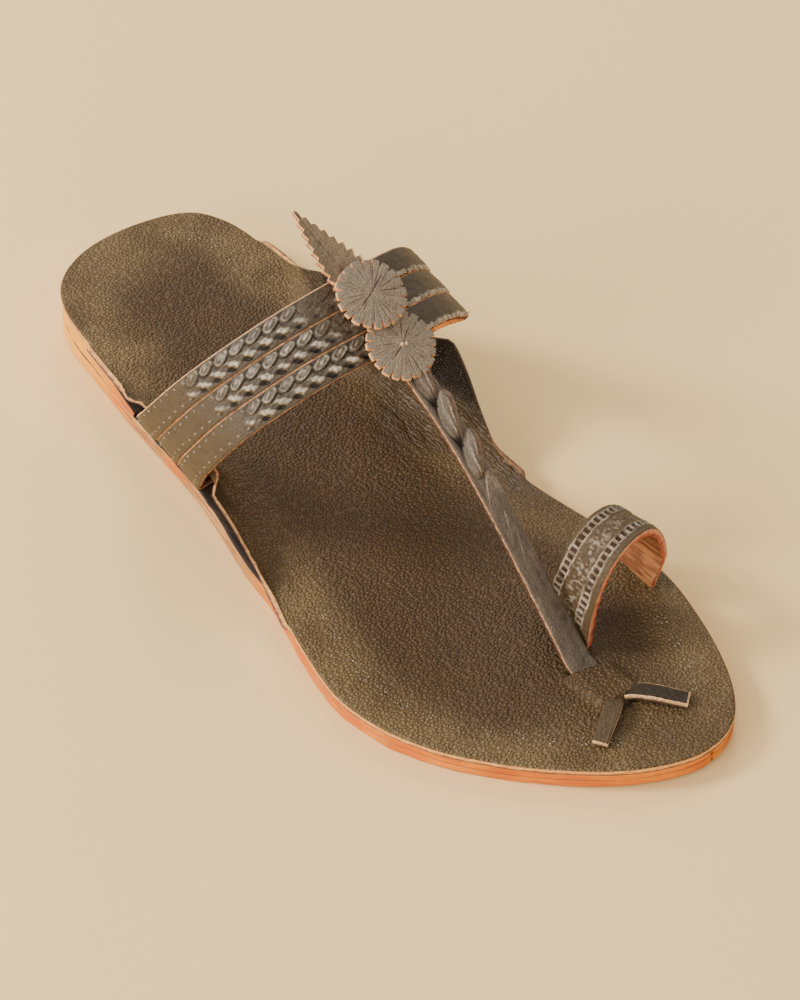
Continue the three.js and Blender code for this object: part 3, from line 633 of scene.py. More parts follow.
# ------------------------------------------------------------------ the sole
def sole_layer(name, node, under, over, inset, dye, burnt, skin=SOLE_FACE, until=None):
    """One layer of the sole, with hand cut edges that wander a little: its lower and upper heights, how
    far its edge stands in and how it is dyed and burnt, the leather of its faces, and its front end if
    that isn't the toe."""
    y = stations(300)
    if until:
        y = np.append(y[y < until - 1.5], until)
    steps = 9
    across = np.concatenate([np.linspace(0, 0.08, 6)[:-1], np.linspace(0.08, 0.92, 22),
                             np.linspace(0.92, 1, 6)[1:]])
    low, high = under(y), over(y)
    outline = {}
    for side, sign in SIGN.items():
        slope = (edge(side, y + 0.05) - edge(side, y - 0.05)) / 0.1
        normal = unit(np.stack([sign * np.ones_like(y), -sign * slope], 1))
        wander = 0.16 * noise(y / 9, 0, ord(name[0]) + sign) + 0.08 * noise(y / 2.6, 3, ord(name[1]) + sign)
        outline[side] = (normal, wander - inset)

    def rim(side, offset, z):
        normal, wander = outline[side]
        flat = np.stack([edge(side, y), y], 1) + normal * (wander + offset)[:, None]
        return np.column_stack([flat, z])

    corner = 0.35
    flanks = {}
    for side in SIGN:
        profile = [corner * (2 * t - 1) ** 6 for t in np.linspace(0, 1, steps)]
        heights = [lerp(high, low, t) for t in np.linspace(0, 1, steps)]
        flanks[side] = [rim(side, -p + 0.07 * noise(y / 3, 5 * k, 3), z)
                        for k, (p, z) in enumerate(zip(profile, heights))]

    def face(k, z):
        left, right = flanks["medial"][k], flanks["lateral"][k]
        grid = lerp(left[:, None], right[:, None], across[None, :, None])
        grid[..., 2] = z[:, None]
        return grid

    top, bottom = face(0, high), face(-1, low)
    right = np.stack(flanks["lateral"][1:-1], 1)
    left = np.stack(flanks["medial"][1:-1][::-1], 1)
    rings = np.concatenate([top, right, bottom[:, ::-1], left], axis=1)
    count = rings.shape[1]
    wide = len(across) - 1
    ring_tags = np.repeat([0, 1, 0, 1], [wide, steps - 1, wide, steps - 1])
    tags = np.concatenate([np.tile(ring_tags, len(y) - 1), [1, 0 if until else 1]])
    points = rings.reshape(-1, 3)
    depth = (rings[..., 2] - low[:, None]) / np.maximum(high - low, 0.1)[:, None]
    dyed, heel = (np.broadcast_to(v[:, None], depth.shape) for v in (dye(y), 1 - rise(y, 20, 60)))
    marks = {"dye": dyed, "burnt": burnt(depth), "heel": heel}
    faces = outward(points, tube_faces(len(y), count))
    mesh_piece(name, points, faces, tags, [skin, SOLE_EDGE], [node], marks, 60)


def lift_top(y):
    full = bed_top(y) - BED - GAP
    skive = lerp(full, midsole_top(y) + GAP + SKIVE_THIN, (y - SKIVE_FROM) / (LIFT_END - SKIVE_FROM))
    return np.where(y < SKIVE_FROM, full, skive)


def orange_share(y):
    """How strongly the sole's edge is dyed: at heel and forefoot, and in one patch at the waist."""
    return np.clip(1 - rise(y, 44, 60) + rise(y, 120, 138) + 0.9 * hill(y, 79, 9), 0, 1)


def make_sole():
    sole_layer("outsole_layer", "outsole", ground, lambda y: ground(y) + OUTSOLE, 0.0,
               orange_share, lambda depth: 0.9 * smooth(1 - depth / 0.22))
    sole_layer("midsole_layer", "midsole", lambda y: ground(y) + OUTSOLE + SEAM, midsole_top, 0.15,
               orange_share, lambda depth: 0.8 * smooth(1 - depth / 0.22), MIDSOLE_FACE_SHADE)
    sole_layer("heel_lift_wedge", "heel_lift", lambda y: midsole_top(y) + SEAM, lift_top, 0.3,
               np.ones_like, lambda depth: 0.2 * smooth(1 - depth / 0.1), MIDSOLE_FACE_SHADE, LIFT_END)


# ------------------------------------------------------------------ the footbed
def bed_rows():
    """Rows along the shoe, closer together over the toe strap's passage."""
    plain = stations(270)
    passage = np.arange(214, 238, 0.55)
    return np.concatenate([plain[plain < 213.4], passage, plain[plain > 238.2]])


def ear_points(side, y, t):
    """Points of the footbed's upper face on one side, t from the flat to the rim, and their heights
    above the flat."""
    sign = SIGN[side]
    base = bed_top(y)
    top = np.maximum(base, RIM[side](y))
    height = top - base
    upright = smooth(height / EAR_FULL)
    root = edge(side, y) - sign * upright * (np.maximum(0, ear_inset(side, y, base)) + BED)
    rim_x = lerp(edge(side, y), wall(side, y, top) - sign * (ear_inset(side, y, top) + BED), upright)
    width = edge("lateral", y) - edge("medial", y)
    run = np.minimum(np.minimum(9, 2.5 + 0.5 * height), 0.2 * width)
    y, base, height, root, rim_x, run = (v[:, None] for v in (y, base, height, root, rim_x, run))
    x = (1 - t) ** 2 * (root - sign * run) + 2 * t * (1 - t) * root + t * t * rim_x
    return np.stack([x, y + 0 * x, base + t * t * height + 0 * x], -1), height * t * t


def passage_bar(x, y):
    """The raised bar over the toe strap, skewed across the shoe, with a lip at each end."""
    shifted = y + 0.3 * (x - BUMP_X)
    across = 1 - rise(np.abs(x - BUMP_X), BUMP_HALF - 0.4, BUMP_HALF + BUMP_RUN)
    along = rise(shifted, BUMP_FROM - 0.7, BUMP_FROM + 0.5) * (1 - rise(y, BUMP_TO + 1.2, BUMP_TO + 3))
    sag = 0.25 * hill(shifted, (BUMP_FROM + BUMP_TO) / 2, 6)
    return across * along * (BUMP_HIGH - sag)


def slit_shadow(x, y):
    """The slits that the toe strap goes down through and its ends come up through: a dip in the footbed and
    painted shadow on it.
    """
    shifted = y + 0.3 * (x - BUMP_X)
    inside = 1 - rise(np.abs(x - BUMP_X), BUMP_HALF - 0.8, BUMP_HALF + 0.4)
    return inside * (hill(shifted, BUMP_FROM - 1.4, 1.6) + 0.8 * hill(y, BUMP_TO + 3.6, 1.6))


def make_footbed():
    y = bed_rows()
    columns = 56
    medial, medial_high = ear_points("medial", y, np.linspace(1, 0, columns)[None])
    lateral, lateral_high = ear_points("lateral", y, np.linspace(0, 1, columns)[None])
    share = np.linspace(0, 1, 92)[None, 1:-1, None]
    flat = lerp(medial[:, -1:], lateral[:, :1], share)
    top = np.concatenate([medial, flat, lateral], 1)
    high = np.concatenate([medial_high, np.zeros(flat.shape[:2]), lateral_high], 1)
    normal = normals(top, (0, 0, 1))
    x, yy = top[..., 0], top[..., 1]
    inside = np.minimum(edge("lateral", yy) - x, x - edge("medial", yy))
    waves = 0.3 * noise(x / 17, yy / 23, 2) + 0.12 * noise(x / 6, yy / 7, 4)
    dark_side = np.where(x < 0, 1.0, 0.45)
    reach = x - edge("medial", yy) - 13 * hill(yy, 118, 22) + 3 * noise(x / 9, yy / 12, 12)
    root = 1 - rise(reach, 3, 15)
    root = root * rise(yy, 56, 76) * (1 - rise(yy, 152, 174)) * (x < 0)
    ear = np.maximum(smooth((high - 1.2) / 5) * dark_side, 0.75 * root)
    fold = np.maximum(smooth((high - 0.4) / 2), root) * (1 - smooth((high - 7) / 6))
    run = high * 0.9 + 0.5 * x
    arc = np.cumsum(np.linalg.norm(np.diff(top, axis=1, prepend=top[:, :1]), axis=2), 1)
    arc = arc - arc[:, columns:columns + 1] + x[:, columns:columns + 1]
    creases = fold * 0.2 * np.sin(2 * np.pi * (run / 2.6 + 1.2 * noise(yy / 16, run / 5, 7)))
    rounded = -0.4 * (1 - smooth(inside / 0.8)) * (1 - smooth(high / 1.5))
    tread = -0.4 * hill(np.hypot((x + 10) / 26, (yy - 40) / 30), 0, 1)
    toe_hollow = -1.1 * hill(np.hypot((x + 24) / 15, (yy - 217) / 17), 0, 1)
    lift = (waves + tread + toe_hollow) * rise(inside, 1, 9) + creases + rounded
    lift = lift + passage_bar(x, yy) - 0.8 * slit_shadow(x, yy)
    picked = np.unique(np.append(np.arange(0, top.shape[1], 4), top.shape[1] - 1))
    thick = lerp(BED, 0.85, smooth(high[:, picked] / 4))
    bottom = top[:, picked] - normal[:, picked] * thick[..., None]
    top = top + normal * lift[..., None]
    worn = rise(inside + 3 * noise(x / 14, yy / 14, 9), 7, 22) * (1 - 0.5 * hill(yy, 238, 22))
    worn = worn * rise(yy, 6, 30)
    # Painted shadow in the toe strap's slits, added to the ears' dark grain and carried by the mark `ear`.
    shade = np.clip(ear + 0.75 * slit_shadow(x, yy), 0, 1)
    slab("footbed_sheet", top, bottom, [BED_SKIN, BED_EDGE, BED_BACK_SHADE], bulge=0.12,
         marks={"ear": shade, "fold": fold, "worn": worn, "arc": arc}, stands_for=["footbed"], crease=55)


def bed_point(x, y):
    """The flat of the footbed at a place, with its upward slope ignored."""
    return np.array([x, y, float(bed_top(y))])


def make_tooling():
    """Small stamped stars in a border round the forefoot and the heel: raised burrs round a pit."""
    spots = []
    for start, end, side in STAR_ROWS:
        y = start
        while y < end:
            slope = float(edge(side, y + 0.5) - edge(side, y - 0.5))
            normal = unit(np.array([SIGN[side], -SIGN[side] * slope]))
            spots.append(np.array([float(edge(side, y)), y]) - normal * STAR_INSET)
            y += STAR_PITCH / math.hypot(1, slope)
    points, faces = [], []
    for index, (x, y) in enumerate(spots):
        for petal in range(7):
            angle = 2 * math.pi * petal / 7 + 0.7 * index
            reach = 1.5 + 0.5 * float(noise(index * 3.1, petal * 1.7, 5))
            centre = bed_point(x + reach * math.cos(angle), y + reach * math.sin(angle))
            along = np.array([math.cos(angle + 0.5), math.sin(angle + 0.5), 0]) * 0.42
            aside = np.array([-along[1], along[0], 0]) * 0.5
            start = len(points)
            top, root = np.array([0, 0, 0.36]), np.array([0, 0, 0.5])
            points += [centre - along, centre + aside, centre + along, centre - aside,
                       centre + top + 0.35 * aside, centre - root]
            for a, b in ((0, 1), (1, 2), (2, 3), (3, 0)):
                faces += [[start + a, start + b, start + 4], [start + b, start + a, start + 5]]
    points = np.array(points)
    # Full relief paints the burrs in the crest colour and the fleck share paints them pale: painted glints.
    marks = {"relief": np.ones(len(points)), "fleck_and_highlight": np.full(len(points), 0.3)}
    mesh_piece("footbed_tooling", points, faces, np.zeros(len(faces)), [TOE_SKIN],
               marks=marks, crease=20)


# ------------------------------------------------------------------ the cross straps
def band_edge(first):
    """The rear edge (first = 0) or the front edge (first = 3) of the band, with its ends tucked in."""
    rows = BAND[:, first:first + 3]

    def foot(point, sign):
        floor = float(midsole_top(point[1])) + 2 * GAP
        turns = ((0.6, floor + 1.3), (1.8, floor + 0.2), (4, floor), (TUCK, floor))
        return [(point[0] - sign * inward, point[1] - 0.6, z) for inward, z in turns]

    return np.array([*foot(rows[0], 1)[::-1], *rows, *foot(rows[-1], -1)])


BAND_REAR, BAND_FRONT = band_edge(0), band_edge(3)
PITCH = 5.7


def braided(s, w, seed):
    """Height of the braid at s along a strap and w across it. It has a row of upright loops along the
    rear edge and a row of tongues with hollows between them along the front edge, in a V."""
    lean = 0.9
    number = np.floor((s + lean * w) / PITCH)
    t = (s + lean * w) / PITCH - number - 0.5
    vary = 1 + 0.16 * noise(number * 1.7, 3, seed)
    radius = (np.abs(t / 0.46) ** 1.5 + np.abs((w + 2.1) / (1.85 * vary)) ** 1.5) ** (1 / 1.5)
    streak = 0.16 * np.sin(19 * t + 2 * w + number)
    loops = ((0.5 + streak) * (1 - smooth(radius)) + 0.45 * hill(radius, 0.84, 0.3)
             - 0.5 * hill(radius, 1.2, 0.2))
    number = np.floor((s - lean * w) / PITCH + 0.4)
    t = (s - lean * w) / PITCH + 0.4 - number - 0.5
    vary = 1 + 0.2 * noise(number * 1.3, 8, seed)
    tongues = vary * hill(t, -0.16, 0.42) * hill(w, 1.5, 2.2) + 0.16 * np.sin(5 * w + 9 * t + number)
    hollows = 1.3 * hill(t, 0.36, 0.26) * hill(w, 2.5 + 0.3 * vary, 1.6)
    return lerp(loops, tongues - hollows, smooth((w + 0.3) / 0.6))


def slit_tips(s, w, seed):
    """Height of the small raised tips where only the ends of the slits show: upright near the rear
    edge, lying along the strap near the front edge."""
    pitch = 4.3
    total = 0
    for middle, long_way, short_way, shift in ((-2.75, 0.62, 0.3, 0.0), (2.35, 0.34, 0.75, 0.45)):
        number = np.floor(s / pitch + shift)
        t = (s / pitch + shift - number - 0.5) * pitch
        wander = 0.3 * noise(number * 1.9, middle, seed)
        across = (w - middle - wander) / long_way
        total = total + hill(np.hypot(across, (t + 0.2 * across) / short_way), 0, 1)
    return total


def make_cross_strap(index, name):
    """One strap of the band: s runs along it from its lateral end and w across it, rear edge first."""
    low, high = index / BAND_STRAPS, (index + 1) / BAND_STRAPS
    middle = (low + high) / 2
    half = STRAP_HALF

    def line(v, t):
        return lerp(curve_at(BAND_REAR, t), curve_at(BAND_FRONT, t), v)

    t, s = evenly(lambda dense: line(middle, dense), 620)
    w = np.concatenate([[-half, -half + 0.12, -half + 0.3], np.linspace(-half + 0.42, half - 0.5, 34),
                        [half - 0.34, half - 0.17, half]])
    is_edge = w[:-1] < -half + 0.28
    columns = np.unique(np.append(np.arange(0, len(w), 3), len(w) - 1))
    reach, s = s[-1], s[:, None]
    comb = rise(s, 0.53 * reach, 0.56 * reach) * (1 - rise(s, 0.7 * reach, 0.74 * reach))
    ragged = -0.14 * np.abs(noise(s / 0.8, index, 11)) - 0.25 * comb * (noise(s / 0.7, index, 12) > 0.3)
    v = middle + (w + ragged * rise(w, half - 0.6, half - 0.4)) / (2 * half) * (high - low)
    top = lerp(curve_at(BAND_REAR, t)[:, None], curve_at(BAND_FRONT, t)[:, None], v[..., None])
    normal = normals(top, top - BAND_MIDDLE)
    left = reach - s
    near = s < reach / 2
    full = np.where(near, rise(s, 68, 82) * (1 - 0.66 * rise(s, 108, 120)),
                    rise(left, 34, 46) * (1 - rise(left, 64, 74)))
    tips = np.where(near, rise(s, 22, 26) * (1 - rise(s, 74, 84)),
                    rise(left, 12, 16) * (1 - rise(left, 38, 48)))
    along = np.where(near, s, left)
    inside = rise(half - np.abs(w), 0.4, 1.1)
    braid = braided(along, w, index) * full * inside
    flecks = slit_tips(along, w, index) * tips * inside
    depth = 1.5 + 0.5 * noise(s / 0.7, index, 12)
    bared = 0.45 + 0.4 * noise(s / 0.45, index, 14)
    strokes = comb * rise(w - half + depth, 0, 0.4) * bared
    worn = 0.16 * noise(s / 2.3, w / 1.6, 31 + index) * rise(s, 12, 40)
    lumps = np.abs(noise(s / 1.1, w / 1.1, 41 + index)) - 0.3
    worn = worn + 0.45 * lumps * hill(s, 0.5 * reach, 30) * (1 - full)
    relief = braid + worn
    dome = 0.3 * (1 - (w / half) ** 2)
    shingle = (0.36 if index < 2 else 0.1) * np.where(w > 0, 1, 0.5) * w / half
    chamfer = 0.3 * rise(w, half - 0.5, half) + 0.25 * rise(-w, half - 0.4, half)
    blotches = 0.45 + 0.75 * noise(s / 0.9, w / 0.6, 43 + index)
    # Painted highlight: pale blotches on the braid's crests, carried with the pale slit fibres in the fleck
    # mark; the relief also paints shade into the braid's hollows.
    braid_highlight = 0.34 * rise(braid, 0.25, 0.75) * np.clip(blotches, 0, 1)
    fleck_and_highlight = np.clip(np.maximum(np.maximum(0.7 * flecks, braid_highlight), strokes), 0, 1)
    lift = 0.85 * relief + 0.5 * flecks + (dome + shingle - chamfer)
    bottom = top[:, columns] - normal[:, columns] * (STRAP - 0.4)
    top = top + normal * lift[..., None]
    slab(name, top, bottom, [STRAP_SKIN, STRAP_EDGE, FLESH], top_tags=is_edge.astype(int),
         side_steps=4, bulge=0.1, marks={"relief": relief, "fleck_and_highlight": fleck_and_highlight}, stands_for=["upper"],
         crease=50)


# ------------------------------------------------------------------ the toe strap
def strap_frame(rows, count):
    """Centres, sideways and upward directions, half widths and lengths along a flat strap."""
    t, s = evenly(lambda dense: curve_at(rows[:, :3], dense), count)
    centre = curve_at(rows[:, :3], t)
    along = unit(np.gradient(centre, axis=0))
    side = unit(np.cross(along, (0, 0, 1)))
    up = unit(np.cross(side, along))
    half = through(np.linspace(0, 1, len(rows)), rows[:, 3])(t)[:, None] / 2
    return centre, side, up, half, s[:, None]


def strip(centre, side, up, across, lift):
    """A grid of points `across` from the middle of a flat strap and `lift` above it."""
    lift = np.asarray(lift, float)[..., None]
    return centre[:, None] + side[:, None] * across[..., None] + up[:, None] * lift


def make_toe_strap():
    """The toe strap's body, hollowed along the middle where the twisted tongues fill it, with the small
    flaps that are cut in it in front of them."""
    centre, side, up, half, s = strap_frame(TOE_STRAP, 460)
    y = centre[:, 1:2]
    share = np.concatenate([[-1, -0.97, -0.93], np.linspace(-0.88, 0.86, 34), [0.91, 0.96, 1]])
    laced = 1 - rise(y, 168, 174)
    ridge = 0.28 * (1 - share ** 2)
    trough = -0.9 * laced * hill(share, 0.1, 0.75)
    chamfer = 0.3 * rise(share, 0.84, 1.0) + 0.25 * rise(-share, 0.9, 1.0)
    fade = 1 - rise(y, 213, 218)
    flaps = np.zeros((len(s), len(share)))
    for tip_y, tip_share, length, wide, height in (
            (171.5, -0.45, 11, 1.5, 0.75), (181, -0.2, 9, 0.62, 0.34), (186.5, -0.3, 9, 0.6, 0.34)):
        back = (y - tip_y) / length
        inside = (back > 0) & (back < 1) & (np.abs(share - tip_share - 0.1 * back) < wide * back ** 0.8)
        flaps = np.maximum(flaps, np.where(inside, height * (1 - smooth(back)), 0))
    wrinkles = 0.1 * noise(s / 7, share * 3, 31) + 0.07 * noise(s / 1.6, share * 2, 33)
    lift = (ridge + trough - chamfer + flaps) * fade + wrinkles
    top = strip(centre, side, up, share * half, lift)
    bottom = strip(centre, side, up, np.linspace(-1, 1, 9) * half, -THONG)
    is_edge = share[:-1] >= 0.95
    # The relief paints shade into the trough and a highlight on the raised flaps.
    relief = np.clip(0.8 * trough + 0.9 * flaps + 3 * wrinkles, -1, 1) + 0.1
    slab("toe_strap", top, bottom, [TOE_SKIN, TOE_EDGE, FLESH],
         top_tags=is_edge.astype(int), side_steps=4, bulge=0.08, marks={"relief": relief},
         stands_for=["upper"])


def make_lace():
    """The twisted tongues in the toe strap's upper half. Each comes up as a point near the medial edge,
    swells over the strap and goes down in front of a hollow, with its flesh side turned out medially."""
    centre, side, up, _, s = strap_frame(TOE_STRAP, 900)
    s, rows = s[:, 0], 44
    upper_u, lower_u = np.linspace(-1, 1, 26), np.linspace(0.9, -0.9, 9)
    count = len(upper_u) + len(lower_u)
    points, faces, tags, relief = [], [], [], []
    for number, tip_y in enumerate((129, 140, 151, 162)):
        start = float(np.interp(tip_y, centre[:, 1], s))
        f = np.linspace(0, 1, rows)
        places = start + 17.5 * f
        middle, across, upward = (
            np.stack([np.interp(places, s, v[:, k]) for k in range(3)], 1) for v in (centre, side, up))
        half = 0.12 + 3.0 * np.sin(np.pi * f ** 0.62 * 0.96) ** 0.9
        drift = lerp(-2.9, -0.1, smooth(f * 1.7)) + 0.2 * noise(f * 4, number, 5)
        high = 0.7 + 1.35 * np.sin(np.pi * f ** 0.7) ** 0.8 - 2.2 * rise(f, 0.6, 1)
        roll = np.radians(lerp(-14, 12, f))
        offset = len(points)
        for k in range(rows):
            crest = 0.22 * math.sin(6 * f[k] + number)
            hump = 1 - np.abs(upper_u - crest * (1 - upper_u ** 2)) ** 1.7
            pleat = np.sin(11 * upper_u + 5 * f[k] + number) + 0.6 * np.sin(19 * upper_u - 4 * f[k])
            pleat = 0.11 * pleat * (1 - upper_u ** 2) * math.sin(np.pi * f[k])
            hole = math.exp(-((f[k] - 0.42) / 0.05) ** 2) * np.exp(-((upper_u + 0.45) / 0.12) ** 2)
            z = np.concatenate([high[k] * hump + pleat - 0.7 * hole, np.full(len(lower_u), -0.55)])
            x = half[k] * np.concatenate([upper_u, lower_u])
            turned_x = x * math.cos(roll[k]) - z * math.sin(roll[k])
            turned_z = x * math.sin(roll[k]) + z * math.cos(roll[k])
            points.extend(middle[k] + across[k] * (drift[k] + turned_x)[:, None]
                          + upward[k] * turned_z[:, None])
            # Painted shadow in the hole and where the tongue goes down into the hollow; painted highlight on
            # the hump.
            shade = 0.1 + 0.3 * hump + 2.4 * pleat - 1.8 * hole - 1.2 * rise(f[k], 0.66, 0.92)
            relief.extend(np.concatenate([shade, np.full(len(lower_u), -0.6)]))
        faces.extend(tube_faces(rows, count, offset))
        ring_tags = np.concatenate([upper_u < -0.35, np.zeros(len(lower_u), bool)]).astype(int)
        tags.extend(np.tile(ring_tags, rows - 1).tolist() + [0, 0])
    points = np.array(points)
    mesh_piece("toe_strap_lace", points, outward(points, faces), tags, [LACE_SKIN, LACE_FLESH],
               marks={"relief": relief}, stands_for=["upper"])


def make_tail(which):
    """An end of the toe strap. The medial one shows its pale cut edges all round, the lateral one
    only at its end."""
    centre, side, up, half, s = strap_frame(TAILS[which], 150)
    share = np.concatenate([[-1, -0.95, -0.89], np.linspace(-0.83, 0.83, 16), [0.89, 0.95, 1]])
    edge_drop = 0.22 * rise(np.abs(share), 0.86, 1)
    near_end = 0.25 * rise(s, s[-1] - 0.6, s[-1])
    rough = 0.1 * noise(s / 1.1, share * 4, 41)
    lift = 0.1 - edge_drop - near_end + rough
    top = strip(centre, side, up, share * half, lift)
    bottom = strip(centre, side, up, np.linspace(-1, 1, 7) * half, -THONG)
    pale_sides = which == "medial"
    is_edge = ((share[:-1] < -0.9) | (share[:-1] >= 0.88)) & pale_sides
    skin = TAIL_SKIN if pale_sides else LOOP_SKIN
    relief = 0.1 + (2.5 if pale_sides else 0.6) * rough
    slab(f"toe_strap_tail_{which}", top, bottom, [skin, TAIL_EDGE, FLESH],
         top_tags=is_edge.astype(int), side_steps=4, bulge=0.05, marks={"relief": relief},
         stands_for=["upper"], end_rows=3 if pale_sides else 2)


# ------------------------------------------------------------------ the toe loop
def loop_edge(row, angle, inward):
    """Points of an edge of the loop, at angles about it, moved `inward` from its outer face."""
    x, half, top, y, lean, skew, tuck, power = row
    c, s = np.cos(angle), np.sin(angle)
    out = (half - inward) * np.sign(c) * np.abs(c) ** (2 / power)
    up = (top - inward - LOOP_SPRING) * np.abs(s) ** (2 / power)
    low = 1 - rise(up, 0, LOOP_TUCK_TO)
    tucked = x + out + np.where(c < 0, tuck * low, 0)
    return np.stack([tucked, y + lean * up + skew * out, LOOP_SPRING + up], -1)


def loop_grid(across, inward, count):
    """Points over the loop, `across` from its rear edge to its front edge, and the lengths up to them."""
    def arch(dense):
        angle = math.pi * dense
        return lerp(loop_edge(LOOP_REAR, angle, 0), loop_edge(LOOP_FRONT, angle, 0), 0.5)

    t, s = evenly(arch, count)
    angle = math.pi * t
    rear = loop_edge(LOOP_REAR, angle, inward)[:, None]
    front = loop_edge(LOOP_FRONT, angle, inward)[:, None]
    grid = lerp(rear, front, across[None, :, None])
    down = np.array([0, 0, LOOP_FOOT - LOOP_SPRING])
    lengths = np.concatenate([[s[0] - 3], s, [s[-1] + 3]])
    return np.concatenate([grid[:1] + down, grid, grid[-1:] + down]), lengths


def loop_tooling(s, q):
    """Height of the punched marks, and how pale they are, worn bare of dye and painted with highlight on
    their frames, round the middle oval and in patches: a row of framed oblongs near each edge of the loop,
    and a row of ringed ovals along its middle."""
    pitch = 2.2
    height = np.zeros(np.broadcast(s, q).shape)
    bare = np.zeros(height.shape)
    for row, half_long, seed in ((3.4, 1.7, 1), (LOOP_WIDE - 4.0, 1.6, 2)):
        number = np.floor(s / pitch + 0.3 * seed)
        t = (s / pitch + 0.3 * seed - number - 0.5) * pitch
        vary = 1 + 0.12 * noise(number * 1.3, seed * 2.0, 51)
        sway = 0.2 * noise(number * 0.9, seed, 52)
        box = np.maximum(np.abs(t) / 0.98, np.abs(q - row - sway) / (half_long * vary))
        frame_line = hill(box, 0.9, 0.26)
        pit = 1 - rise(box, 0.42, 0.68)
        height = height + 0.36 * frame_line - 0.42 * pit
        bare = np.maximum(bare, frame_line * (0.6 + 0.6 * noise(s / 1.7, q / 1.1, 53 + seed)))
        height = height + 0.3 * hill(np.hypot(t / 0.3, (q - row) / 0.8), 0, 1)
    t = (s / 7.4 + 0.35 - np.floor(s / 7.4 + 0.35) - 0.5) * 7.4
    eye = hill(s, 34, 5)
    flower = np.hypot(t / 2.0, (q - LOOP_WIDE / 2 - 0.2) / 1.5)
    height = height + eye * (0.26 * hill(flower, 1, 0.35) - 0.6 * hill(flower, 0, 0.5))
    crumple = noise(s / 0.8, q / 0.8, 57) + 0.6 * noise(s / 0.4, q / 0.4, 60)
    bare = np.maximum(bare, (0.3 + 0.4 * noise(s / 1.2, q / 1.2, 59)) * hill(flower, 1, 0.5) * eye)
    sheen_patches = rise(noise(s / 0.6, q / 1.1, 61), 0.05, 0.6) * hill(q, LOOP_WIDE / 2, 5.2)
    return height + 0.2 * crumple * hill(q, LOOP_WIDE / 2, 4.2), np.maximum(bare, 0.36 * sheen_patches)


def make_toe_loop():
    wide, rows = LOOP_WIDE, 380
    q = np.concatenate([[0, 0.12, 0.3], np.linspace(0.5, wide - 0.5, 84), [wide - 0.3, wide - 0.12, wide]])
    top, s = loop_grid(q / wide, 0, rows)
    normal = normals(top, top - LOOP_MIDDLE)
    reach, s = s[-1], s[:, None]
    shown = rise(s, 5, 8) * (1 - rise(s, reach - 14, reach - 10))
    height, bare = loop_tooling(s, q)
    # The pale of the frames is painted strongest near the crest, where the highlight falls.
    crest = hill(s, 0.3 * reach, 34)
    bare = np.clip(bare * shown * (0.25 + 0.75 * crest), 0, 1)
    grain = 0.05 * noise(s / 0.8, q / 0.8, 55) + 0.07 * noise(s / 3, q / 3, 56)
    rounded = -0.25 * (1 - smooth(np.minimum(q, wide - q) / 0.4))
    top = top + normal * (height * shown + grain + rounded)[..., None]
    inner_q = np.linspace(0, wide, 40)
    inner, _ = loop_grid(inner_q / wide, LOOP, rows)
    ripple = 0.5 * noise(s / 1.1, inner_q / 5, 58) * rise(inner_q, wide - 1.6, wide)
    inner = inner + normals(inner, inner - LOOP_MIDDLE) * ripple[..., None]
    # The relief paints shade into the punched pits; the fleck mark carries the pale frames and their painted
    # highlight.
    slab("toe_loop_arch", top, inner, [LOOP_SKIN, LOOP_EDGE, LOOP_LINING], side_steps=9,
         bulge=0.14, marks={"relief": 1.6 * height * shown, "fleck_and_highlight": bare}, stands_for=["toe_loop"],
         crease=50)


def lathe(centre, facing, profile):
    """A turned body: profile rows of (radius, height) from one point on the axis to another."""
    segments = 28
    facing = unit(np.asarray(facing, float))
    side = unit(np.cross(facing, (0.3, 1, 0.2)))
    other = np.cross(facing, side)
    angle = 2 * np.pi * np.arange(segments) / segments
    circle = np.cos(angle)[:, None] * side + np.sin(angle)[:, None] * other
    rings = [centre + r * circle + h * facing for r, h in profile]
    return np.concatenate(rings), tube_faces(len(profile), segments)


def joined_lathes(name, bodies, material, stands_for=()):
    """Turned bodies in one piece; each is its middle, the way it faces and its profile."""
    points, faces = [], []
    for centre, facing, profile in bodies:
        body_points, body_faces = lathe(np.asarray(centre, float), facing, profile)
        body_faces = outward(body_points, body_faces)
        faces += [[i + len(points) for i in face] for face in body_faces]
        points.extend(body_points)
    mesh_piece(name, np.array(points), faces, np.zeros(len(faces)), [material], stands_for,
               {"relief": np.zeros(len(points))}, 40)


def domed(radius, height, depth, steps):
    """The profile of a small domed head on a short shank."""
    arc = [(radius * math.cos(a), height * math.sin(a)) for a in np.linspace(0, 1.5, steps)]
    return [(0.02, -depth), (radius * 0.6, -depth), (radius, -0.02), *arc, (0.02, height)]


def make_loop_nails():
    """Nail ends that show as dark dots in the loop's lining, on its medial side."""
    bodies = []
    for angle, across in ((2.02, 0.72), (2.2, 0.6), (2.36, 0.52), (2.56, 0.44), (2.3, 0.8)):
        rear, front = loop_edge(LOOP_REAR, angle, LOOP), loop_edge(LOOP_FRONT, angle, LOOP)
        spot = lerp(rear, front, across)
        bodies.append((spot, LOOP_MIDDLE + (0, 0, 2) - spot, domed(0.62, 0.34, 0.5, 4)))
    joined_lathes("toe_loop_nails", bodies, DARK_NAIL)


# ------------------------------------------------------------------ the ornament
def tilted(local, at, slope, turned=0.0):
    """Points of a flat plate, turned about its normal, leaned back and put in its place."""
    x, y, z = local[..., 0], local[..., 1], local[..., 2]
    x, y = x * math.cos(turned) - y * math.sin(turned), x * math.sin(turned) + y * math.cos(turned)
    lean = math.atan(slope)
    return np.stack([at[0] + x, at[1] + y * math.cos(lean) - z * math.sin(lean),
                     at[2] + y * math.sin(lean) + z * math.cos(lean)], -1)


